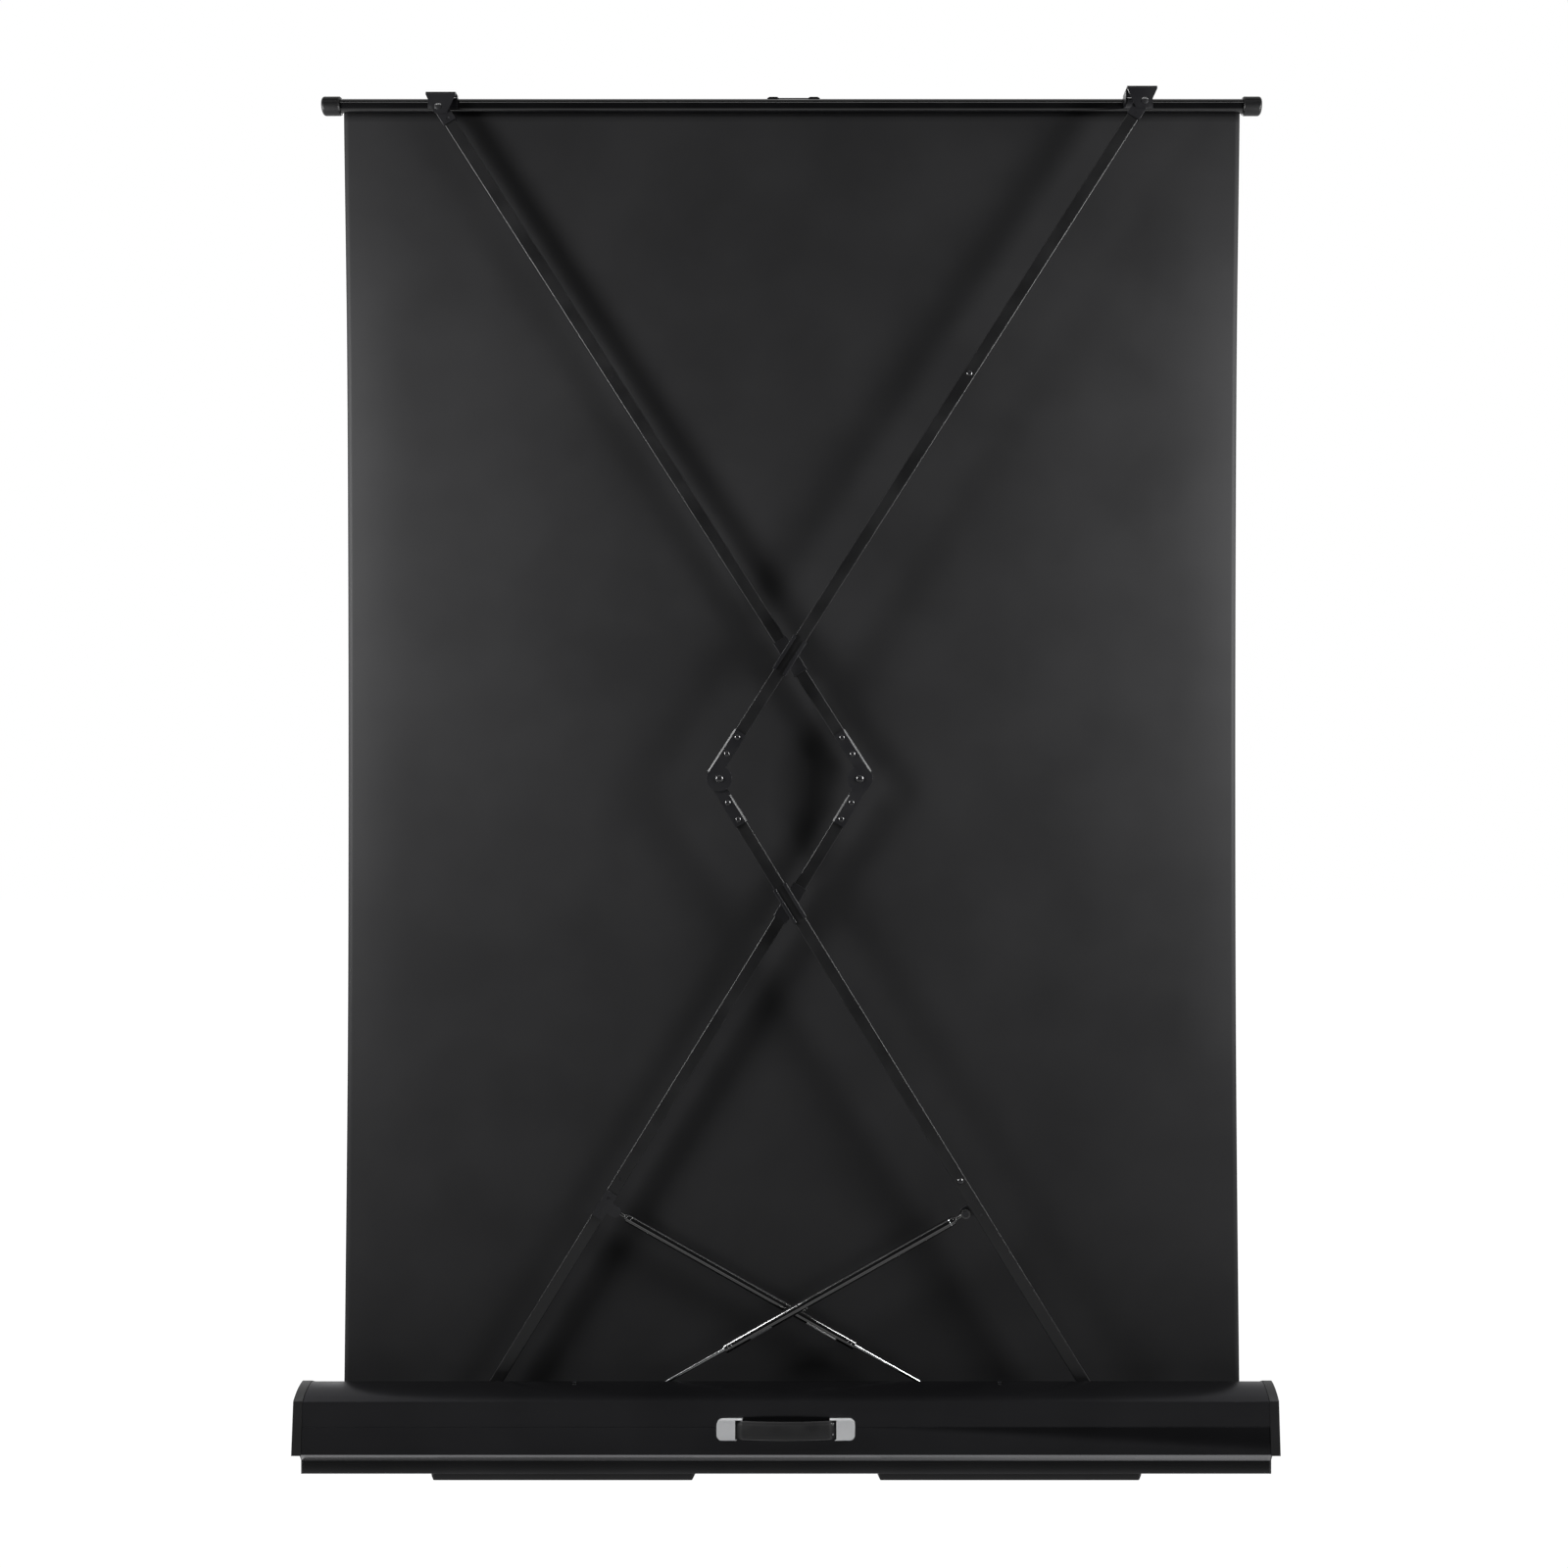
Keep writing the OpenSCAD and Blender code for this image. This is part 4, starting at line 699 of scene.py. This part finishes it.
@dataclass
class ClothRoll:
    """The turns of cloth that stay on the roller when the screen is up.

    Attributes:
        turns: How many turns there are.
        columns: Points along the roller.
        per_turn: Points in each turn.
        sheet_mm: Thickness of the cloth.
        inner_mm: Distance of the innermost turn's middle from the tube.
        outer_mm: Distance of the outermost turn's middle from the solid's outside.
    """

    turns: float = 1.9
    columns: int = 3
    per_turn: int = 96
    sheet_mm: float = 0.6
    inner_mm: float = 0.45
    outer_mm: float = 0.4

    def build(self) -> None:
        """Winds one unbroken sheet round the roller.

        The sheet's middle lies on a spiral: its radius grows evenly with the angle, from just over the tube
        to the solid's outside, and the last turn ends where the hanging cloth leaves the roll.
        """
        low, high = (np.array(corner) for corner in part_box("wound_cloth"))
        tube_low, tube_high = (np.array(corner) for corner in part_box("roller_tube"))
        y0, z0 = (low[1] + high[1]) / 2, (low[2] + high[2]) / 2
        inner = (tube_high[2] - tube_low[2]) / 2 + self.inner_mm * MM
        outer = (high[2] - low[2]) / 2 - self.outer_mm * MM
        sweep = 2 * math.pi * self.turns
        angle = np.linspace(-sweep, 0, int(self.per_turn * self.turns) + 1)
        radius = outer + (outer - inner) * angle / sweep
        x = np.linspace(low[0], high[0], self.columns)
        xx, aa = np.meshgrid(x, angle, indexing="ij")
        rr = np.broadcast_to(radius, xx.shape)
        points = np.stack([xx, y0 + rr * np.cos(aa), z0 + rr * np.sin(aa)], axis=-1)
        piece = grid_mesh("cloth_on_roller", points)
        thicken(piece, self.sheet_mm)
        Finishes.CLOTH.dress(piece)
        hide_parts("wound_cloth")
        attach(piece, "roller")


# ---- Carrying handle ----


@dataclass
class CarryHandle:
    """Moulded strap between two lacquered ends.

    Attributes:
        face: Depth and height of the point of the case's back face behind the handle's middle.
        tilt: Lean of that face, in degrees.
        half: Half of the strap's length between its hidden ends.
        bow: How far its middle stands out.
        seat: How far its ends stand off the case.
        height: Width of the strap, up and down.
        thick: Thickness of the strap in the middle of its section.
        crown: How much thinner its edges are than its middle.
        neck: Distance from the middle at which the strap thins towards its ends.
        neck_mm: How much thinner it is there.
        groove_mm: Depth of the groove along each edge.
        groove_at: Place of the groove, as a share of half the strap's width.
        groove_width: Width of the groove, as a share of the same.
        pin_x: Place of the pins along the strap.
        pin_levels: Heights of the pins on the strap.
        pin_mm: Radius of a pin and how far its round end stands out.
        sunk_mm: How far the foot of that round end lies inside the strap.
    """

    face: tuple[float, float]
    tilt: float = 6.95
    half: float = 0.09475
    bow: float = 0.013
    seat: float = 0.005
    height: float = 0.029
    thick: float = 0.004
    crown: float = 0.0017
    neck: float = 0.0722
    neck_mm: float = 1.5
    groove_mm: float = 0.35
    groove_at: float = 0.74
    groove_width: float = 0.05
    pin_x: float = -0.0755
    pin_levels: tuple[float, float] = (-0.006, 0.009)
    pin_mm: tuple[float, float] = (1.5, 1.1)
    sunk_mm: float = 0.3

    def build(self) -> None:
        """Makes the strap and the steel pins that hold its right end."""
        self._strap()
        self._pins()

    def _out(self, x: Array) -> Array:
        """Distance of the strap's inner side from the case at x: a circular arc with the bow given."""
        radius = (self.half**2 + self.bow**2) / (2 * self.bow)
        return self.seat + self.bow - radius + np.sqrt(radius**2 - x**2)

    def _place(self, x: Array, out: Array, up: Array) -> Array:
        """Turns distances along, out of and up the back face into points."""
        c, s = math.cos(math.radians(self.tilt)), math.sin(math.radians(self.tilt))
        return np.stack([x, self.face[0] + out * c - up * s, self.face[1] + out * s + up * c], axis=-1)

    def _strap(self) -> None:
        """Carries a crowned section with round edges along the arc.

        Round the section, the height goes as the root of the sine and the thickness as the cosine to the
        power of 0.8, each with its sign. The section is thinner towards its edges by the crown, more so in
        the middle of the strap than at its ends, and a shallow groove runs along each edge, where the
        mould parts.
        """
        stations, around = 97, 64
        x = np.linspace(-self.half, self.half, stations)
        a = np.linspace(0, 2 * math.pi, around, endpoint=False)
        xx, aa = np.meshgrid(x, a, indexing="ij")
        up = self.height / 2 * np.sign(np.sin(aa)) * np.abs(np.sin(aa)) ** 0.5
        across = np.sign(np.cos(aa)) * np.abs(np.cos(aa)) ** 0.8
        share = 2 * up / self.height
        middle = 0.55 + 0.45 * (1 - (xx / self.half) ** 2)
        thick = self.thick - self.crown * middle * share**2
        outer = across > 0
        dip = np.exp(-(((np.abs(share) - self.groove_at) / self.groove_width) ** 2))
        groove = self.groove_mm * MM * dip * outer
        neck = np.clip((np.abs(xx) - self.neck) / MM, 0, 1) * self.neck_mm * MM * outer
        centre = self._out(xx) + self.thick / 2 - 0.5 * (self.thick - thick)
        out = centre + across * thick / 2 - groove - neck
        piece = grid_mesh("strap_moulding", self._place(xx, out, up), wrap_v=True)
        close_ends(piece)
        smooth_below(piece, 50)
        Finishes.RUBBER.dress(piece)
        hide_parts("handle_strap")
        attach(piece, "case")
        LOG.info("strap_moulding: %d points", len(piece.data.vertices))

    def _pins(self) -> None:
        """Adds the round ends of the two steel pins beside the strap's right end.

        Each is half an ellipsoid: the radius falls as the cosine of the angle while its height rises as the
        sine.
        """
        u, v = np.linspace(0, math.pi / 2, 9), np.linspace(0, 2 * math.pi, 24, endpoint=False)
        uu, vv = np.meshgrid(u, v, indexing="ij")
        radius, bulge = self.pin_mm[0] * MM * np.cos(uu), self.pin_mm[1] * MM * np.sin(uu)
        foot = self._out(np.full_like(uu, self.pin_x)) + self.thick - (self.neck_mm + self.sunk_mm) * MM
        for number, level in enumerate(self.pin_levels, start=1):
            x, up = self.pin_x + radius * np.cos(vv), level + radius * np.sin(vv)
            piece = grid_mesh(f"strap_pin_{number}", self._place(x, foot + bulge, up), wrap_v=True)
            close_ends(piece)
            smooth_below(piece, 60)
            Finishes.CHROME.dress(piece)
            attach(piece, "case")
            LOG.info("strap_pin_%d", number)


# ---- Gas struts ----


@dataclass
class StrutDressing:
    """Plain strip and rolled-in rings on one gas spring tube.

    Attributes:
        side: Name of the strut, left or right.
        sign: 1 for the right strut, -1 for the left.
        foot: Lower eye of the strut.
        strip: Start and end of the plain strip, from the tube's lower end.
        label: Finish of the strip.
        tilt: Lean of the strut, in degrees.
        low: Distance of the tube's lower end from the lower eye.
        length: Length of the tube.
        radius: Outer radius of the tube.
        strip_at: Angle of the strip's middle round the tube, up from the back, in degrees.
        strip_half: Half of the angle that the strip covers, in degrees.
        strip_mm: Thickness of the strip.
        lift_mm: Distance of the strip's middle from the tube.
        corner_mm: Radius of its corners.
        rings: Places of the lower rings, from the tube's lower end.
        top_ring: Distance of the upper ring from the tube's upper end.
        ring_mm: Radius of a ring's section across the tube.
        ring_oval: How much longer that section is along the tube.
        sunk_mm: How deep the middle of that section lies in the tube.
    """

    side: str
    sign: int
    foot: Vec3
    strip: tuple[float, float]
    label: Finishes
    tilt: float = 29.3807
    low: float = 0.33803
    length: float = 0.433
    radius: float = 0.008
    strip_at: float = -38.0
    strip_half: float = 14.0
    strip_mm: float = 0.1
    lift_mm: float = 0.12
    corner_mm: float = 2.0
    rings: tuple[float, float] = (0.006, 0.0125)
    top_ring: float = 0.007
    ring_mm: float = 0.55
    ring_oval: float = 1.6
    sunk_mm: float = 0.15

    def build(self) -> None:
        """Makes the strip, two rings at the tube's lower end and one at its upper end."""
        self._strip()
        for number, at in enumerate((*self.rings, self.length - self.top_ring), start=1):
            self._ring(number, at)

    def _round(self, at: Array, radius: Array, angle: Array) -> Array:
        """Places points round the strut's axis.

        Args:
            at: Distances from the tube's lower end, along the strut.
            radius: Distances from the axis.
            angle: Angles round the axis, 0 towards the back.

        Returns:
            The points, with one axis more than the arguments.
        """
        c, s = math.cos(math.radians(self.tilt)), math.sin(math.radians(self.tilt))
        along = np.array([-self.sign * c, 0.0, s])
        back = np.array([0.0, 1.0, 0.0])
        up = np.array([self.sign * s, 0.0, c])
        return (
            np.array(self.foot)
            + (self.low + at)[..., None] * along
            + (radius * np.cos(angle))[..., None] * back
            + (radius * np.sin(angle))[..., None] * up
        )

    def _strip(self) -> None:
        """Lays a strip on the tube: part of a slightly larger cylinder, with rounded corners.

        The half angle narrows by a quarter towards either end, as a quarter circle.
        """
        t = np.linspace(self.strip[0], self.strip[1], 41)
        end = np.minimum(t - self.strip[0], self.strip[1] - t) / (self.corner_mm * MM)
        narrow = np.sqrt(np.clip(1 - (1 - np.clip(end, 0, 1)) ** 2, 0, 1)) * 0.25 + 0.75
        tt, ss = np.meshgrid(t, np.linspace(-1, 1, 15), indexing="ij")
        angle = math.radians(self.strip_at) + math.radians(self.strip_half) * ss * narrow[:, None]
        radius = np.full_like(tt, self.radius + self.lift_mm * MM)
        piece = grid_mesh(f"strut_strip_{self.side}", self._round(tt, radius, angle))
        thicken(piece, self.strip_mm)
        self.label.dress(piece)
        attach(piece, f"strut_tube_{self.side}")
        LOG.info("strut_strip_%s", self.side)

    def _ring(self, number: int, at: float) -> None:
        """Adds one rolled ring: a torus with an oval section, more than half of it sunk in the tube.

        Args:
            number: Number of the ring, from the tube's lower end.
            at: Its distance from that end.
        """
        u = np.linspace(0, 2 * math.pi, 64, endpoint=False)
        v = np.linspace(0, 2 * math.pi, 12, endpoint=False)
        uu, vv = np.meshgrid(u, v, indexing="ij")
        small = self.ring_mm * MM
        radius = self.radius - self.sunk_mm * MM + small * np.cos(vv)
        points = self._round(at + small * self.ring_oval * np.sin(vv), radius, uu)
        piece = grid_mesh(f"strut_ring_{self.side}_{number}", points, wrap_u=True, wrap_v=True)
        close_ends(piece)
        bright = self.side == "right" and number == 3
        (Finishes.CHROME if bright else Finishes.STRUT).dress(piece)
        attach(piece, f"strut_tube_{self.side}")
        LOG.info("strut_ring_%s_%d", self.side, number)


# ---- Sub-assemblies ----


@dataclass
class Case:
    """The case on the floor, with its base, end caps, inner brackets, roller and feet.

    Attributes:
        dresser: What finishes the solids.
        extrusion_mm: Broken edges of the case and its base.
        cap_mm: Those of the end caps.
        foot_mm: Those of the feet.
        inner_mm: Those of the brackets and the roller's plugs.
        handle_mm: Those of the handle's ends.
    """

    dresser: Dresser
    extrusion_mm: float = 0.5
    cap_mm: float = 0.9
    foot_mm: float = 1.2
    inner_mm: float = 0.3
    handle_mm: float = 1.3

    def build(self) -> None:
        """Finishes every solid of the case and the roller."""
        soften, paint = self.dresser.soften, self.dresser.paint
        soften(("case_back", "case_front"), Finishes.CASE, self.extrusion_mm)
        soften(("base_plate", "base_skirts"), Finishes.RAIL, self.extrusion_mm)
        soften(("end_cap_left", "end_cap_right"), Finishes.CAP, self.cap_mm)
        soften(("foot_left", "foot_right"), Finishes.FOOT, self.foot_mm)
        brackets = ("arm_foot_brackets", "strut_foot_brackets", "roller_brackets")
        soften(brackets, Finishes.ZINC, self.inner_mm)
        soften(("roller_tube",), Finishes.DRAWN)
        soften(("roller_plugs",), Finishes.PLUG, self.inner_mm)
        paint(("base_pins", "roller_shaft", "foot_bolts", "foot_washers", "handle_screws"), Finishes.ZINC)
        paint(("case_screws",), Finishes.RIVET)
        paint(("roller_spring",), Finishes.SPRING)
        soften(("handle_ends",), Finishes.HANDLE, self.handle_mm)


@dataclass
class LiftFrame:
    """The crossed folding arms with their plates, pins, channels and gas struts.

    Attributes:
        dresser: What finishes the solids.
        plate_mm: Broken edges of the elbow plates and the struts' brackets.
        end_mm: Those of the fittings on the arms' top ends.
        slider_mm: Those of the sliding channels.
        tube_mm: Those of the struts' tubes.
    """

    dresser: Dresser
    plate_mm: float = 0.5
    end_mm: float = 0.9
    slider_mm: float = 0.7
    tube_mm: float = 0.6

    def build(self) -> None:
        """Finishes every solid of the frame and the struts."""
        soften = self.dresser.soften
        sides, levels = ("left", "right"), ("lower", "upper")
        pairs = [(level, side) for level in levels for side in sides]
        soften([f"{level}_arm_{side}" for level, side in pairs], Finishes.ARM)
        plates = [f"{level}_elbow_plate_{side}" for level, side in pairs]
        plates += [f"strut_bracket_{side}" for side in sides]
        soften(plates, Finishes.PLATE, self.plate_mm)
        soften([f"arm_end_{side}" for side in sides], Finishes.PLATE, self.end_mm)
        soften([f"{level}_slider_{side}" for level, side in pairs], Finishes.PLATE, self.slider_mm)
        rivets = [f"{level}_rivets_{side}" for level, side in pairs]
        rivets += [f"elbow_pin_{side}" for side in sides] + [f"{level}_crossing_pin" for level in levels]
        soften(rivets, Finishes.RIVET)
        soften([f"strut_tube_{side}" for side in sides], Finishes.STRUT, self.tube_mm, angle=40)
        soften([f"strut_rod_{side}" for side in sides], Finishes.CHROME)


@dataclass
class TopBar:
    """The round bar that the cloth hangs from, with its plugs, brackets and finger grip.

    Attributes:
        dresser: What finishes the solids.
        plug_mm: Broken edges of the plugs and the finger grip.
        bracket_mm: Those of the brackets.
    """

    dresser: Dresser
    plug_mm: float = 0.5
    bracket_mm: float = 0.7

    def build(self) -> None:
        """Finishes every solid of the bar."""
        soften = self.dresser.soften
        soften(("top_bar",), Finishes.BAR)
        soften(("bar_plugs", "finger_grip"), Finishes.PLUG, self.plug_mm, angle=40)
        soften(("bar_bracket_left", "bar_bracket_right"), Finishes.PLATE, self.bracket_mm)
        soften(("bar_pivot_rivets",), Finishes.PIVOT)
        self.dresser.paint(("hem_rod",), Finishes.PLUG)


# ---- Studio ----


@dataclass(frozen=True)
class Softbox:
    """A rectangular lamp.

    Attributes:
        name: Its name.
        place: Where it stands, its depth counted from the cloth.
        size: Its width and height.
        watts: Its power.
    """

    name: str
    place: Vec3
    size: tuple[float, float]
    watts: float


SOFTBOXES = (
    Softbox("left_softbox", (1.75, 0.62, 1.55), (0.3, 1.3), 50.0),
    Softbox("right_softbox", (-1.75, 0.62, 1.55), (0.3, 1.3), 51.0),
    Softbox("top_softbox", (0.0, 1.35, 3.7), (4.8, 0.26), 10.0),
    Softbox("front_softbox", (0.4, -3.2, 2.4), (2.4, 1.6), 70.0),
)

# How bright the floor glows in the screen's reflections, by its depth. This is painted reflection, since the
# floor is no lamp: a strip under the lower edge of the case glows at nearly three times white, grey just
# behind it, darker at half a metre, pale at about a metre and nearly black far behind.
FLOOR_GLOW = (
    (-0.05, 0.95),
    (0.0, 2.9),
    (0.085, 2.9),
    (0.11, 0.5),
    (0.32, 0.4),
    (0.42, 0.22),
    (0.63, 0.22),
    (0.78, 0.78),
    (1.35, 0.72),
    (1.8, 0.03),
)


@dataclass
class Studio:
    """Pale floor, plain background, soft lamps and the camera.

    Attributes:
        depth: Depth of the cloth's plane.
        distance: Distance of the camera behind that plane.
        camera_x: Sideways place of the camera.
        camera_z: Height of the camera.
        focal_px: Focal length in pixels of the whole frame.
        shift_px: How far the camera's axis lies right of the frame's middle, in those pixels.
        target_z: Height that the lamps are turned to.
        floor_half: Half of the floor's width.
        floor_z: Height of the floor, just under the feet.
        glow_from: Depth at which the floor's reflected brightness starts to be told.
        glow_to: Depth at which that ends.
    """

    depth: float
    distance: float = 2.908
    camera_x: float = -0.093
    camera_z: float = 1.1245
    focal_px: float = 1772.0
    shift_px: float = 61.0
    target_z: float = 1.05
    floor_half: float = 14.0
    floor_z: float = -0.0004
    glow_from: float = -0.2
    glow_to: float = 2.8

    def build(self) -> None:
        """Makes the floor, the world, the lamps and the camera."""
        bpy.context.scene.view_settings.view_transform = "Standard"
        self._floor()
        self._world()
        for box in SOFTBOXES:
            self._lamp(box)
        self._camera()

    def _floor(self) -> None:
        """Makes a wide floor that reads as white from anywhere and keeps a trace of the shadow.

        Reflections show it glowing by FLOOR_GLOW, a painted reflection, and all other light finds a matt
        grey floor.
        """
        u = np.linspace(-self.floor_half, self.floor_half, 29)
        xx, yy = np.meshgrid(u, u, indexing="ij")
        floor = grid_mesh("studio_floor", np.stack([xx, yy, np.full_like(xx, self.floor_z)], axis=-1))
        made = bpy.data.materials.new("pale_floor")
        made.use_nodes = True
        tree = made.node_tree
        tree.nodes.clear()
        rays = add(tree, "ShaderNodeLightPath").outputs
        seen = rays["Is Camera Ray"]
        for other in ("Is Glossy Ray", "Is Transmission Ray"):
            seen = add(tree, "ShaderNodeMath", {0: seen, 1: rays[other]}, operation="MAXIMUM").outputs[0]
        share = add(tree, "ShaderNodeMath", {0: seen, 1: 0.96}, operation="MULTIPLY")
        place = add(tree, "ShaderNodeSeparateXYZ", {0: add(tree, "ShaderNodeTexCoord").outputs["Object"]})
        across = add(
            tree,
            "ShaderNodeMapRange",
            {"Value": place.outputs["Y"], "From Min": self.glow_from, "From Max": self.glow_to},
        )
        painted_reflection_ramp = add(tree, "ShaderNodeValToRGB", {"Fac": across.outputs["Result"]})
        stops = painted_reflection_ramp.color_ramp.elements
        shares = [(depth - self.glow_from) / (self.glow_to - self.glow_from) for depth, _ in FLOOR_GLOW]
        stops[0].position, stops[1].position = shares[0], shares[-1]
        for position in shares[1:-1]:
            stops.new(position)
        for stop, (_, value) in zip(stops, FLOOR_GLOW, strict=True):
            stop.color = (value, value, value, 1.0)
        # Painted reflection: in glossy rays the floor glows by FLOOR_GLOW, though it is no lamp.
        level = add(
            tree,
            "ShaderNodeMix",
            {0: rays["Is Glossy Ray"], 2: 1.06, 3: painted_reflection_ramp.outputs[0]},
            data_type="FLOAT",
        )
        matt = add(tree, "ShaderNodeBsdfDiffuse", {"Color": linear("#6a6a6a")})
        white = add(tree, "ShaderNodeEmission", {"Color": linear("#ffffff"), "Strength": level.outputs[0]})
        mixed = add(
            tree, "ShaderNodeMixShader", {0: share.outputs[0], 1: matt.outputs[0], 2: white.outputs[0]}
        )
        add(tree, "ShaderNodeOutputMaterial", {"Surface": mixed.outputs[0]})
        floor.data.materials.append(made)

    def _world(self) -> None:
        """Makes the surroundings: white to the camera, and a pale backdrop with a dim room for the rest.

        Glossy rays see a backdrop that is bright on the projection side and dims towards the room behind
        the camera. Other rays see an even, dim grey.
        """
        world = bpy.data.worlds.new("studio_world")
        bpy.context.scene.world = world
        world.use_nodes = True
        tree = world.node_tree
        tree.nodes.clear()
        rays = add(tree, "ShaderNodeLightPath").outputs
        heading = add(
            tree, "ShaderNodeSeparateXYZ", {0: add(tree, "ShaderNodeTexCoord").outputs["Generated"]}
        )
        fade = {"From Min": -0.35, "From Max": 0.3, "To Min": 0.95, "To Max": 0.03}
        room = add(
            tree,
            "ShaderNodeMapRange",
            {"Value": heading.outputs["Y"], **fade},
            interpolation_type="SMOOTHSTEP",
        ).outputs["Result"]
        gloss = add(
            tree,
            "ShaderNodeMath",
            {0: rays["Is Glossy Ray"], 1: rays["Is Transmission Ray"]},
            operation="MAXIMUM",
        ).outputs[0]
        dim = add(tree, "ShaderNodeMix", {0: gloss, 2: 0.04, 3: room}, data_type="FLOAT").outputs[0]
        level = add(
            tree, "ShaderNodeMix", {0: rays["Is Camera Ray"], 2: dim, 3: 1.0}, data_type="FLOAT"
        ).outputs[0]
        sky = add(tree, "ShaderNodeBackground", {"Color": linear("#ffffff"), "Strength": level})
        add(tree, "ShaderNodeOutputWorld", {"Surface": sky.outputs[0]})

    def _lamp(self, box: Softbox) -> None:
        """Adds one lamp, turned to the middle of the screen."""
        data = bpy.data.lights.new(box.name, "AREA")
        data.shape = "RECTANGLE"
        data.size, data.size_y = box.size
        data.energy = box.watts
        lamp = bpy.data.objects.new(box.name, data)
        bpy.context.scene.collection.objects.link(lamp)
        place = np.array(box.place) + np.array([0.0, self.depth, 0.0])
        lamp.location = place
        aim = np.array([0.0, self.depth, self.target_z]) - place
        flat = math.hypot(aim[0], aim[1])
        lamp.rotation_euler = (math.atan2(flat, -aim[2]), 0.0, math.atan2(aim[1], aim[0]) - math.pi / 2)
        lamp.visible_camera = False

    def _camera(self) -> None:
        """Puts the camera behind the screen, level, looking square at it."""
        data = bpy.data.cameras.new("view_from_behind")
        data.sensor_width = 36.0
        data.lens = self.focal_px / FRAME_PX * data.sensor_width
        data.shift_x = -self.shift_px / FRAME_PX
        camera = bpy.data.objects.new("view_from_behind", data)
        bpy.context.scene.collection.objects.link(camera)
        camera.location = (self.camera_x, self.depth + self.distance, self.camera_z)
        camera.rotation_euler = (math.pi / 2, 0.0, math.pi)
        bpy.context.scene.camera = camera


def main(frame: Mapping[str, Any]) -> None:
    """Builds the whole scene in order.
    """
    logging.basicConfig(level=logging.INFO, format="%(name)s: %(message)s")
    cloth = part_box("screen_cloth")
    depth = float(cloth[0][1] + cloth[1][1]) / 2
    dresser = Dresser(frame)
    left_eye, right_eye = (-0.405, depth + 0.0225, 0.026), (0.397, depth + 0.0403, 0.026)
    steps: tuple[tuple[str, Callable[[], None]], ...] = (
        ("studio", Studio(depth).build),
        ("screen", Screen().build),
        ("cloth roll", ClothRoll().build),
        ("case", Case(dresser).build),
        ("lift frame", LiftFrame(dresser).build),
        ("top bar", TopBar(dresser).build),
        ("handle", CarryHandle(face=(depth + 0.112, 0.087)).build),
        ("left strut", StrutDressing("left", -1, left_eye, (0.032, 0.088), Finishes.LABEL).build),
        # The right strut's strip is grey: painted shade on a copy of the white strip.
        ("right strut", StrutDressing("right", 1, right_eye, (0.045, 0.085), Finishes.PAINTED_SHADE_LABEL).build),
    )
    for name, build in steps:
        build()
        LOG.info("done: %s", name)


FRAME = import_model()

if __name__ == "__main__":
    main(FRAME)
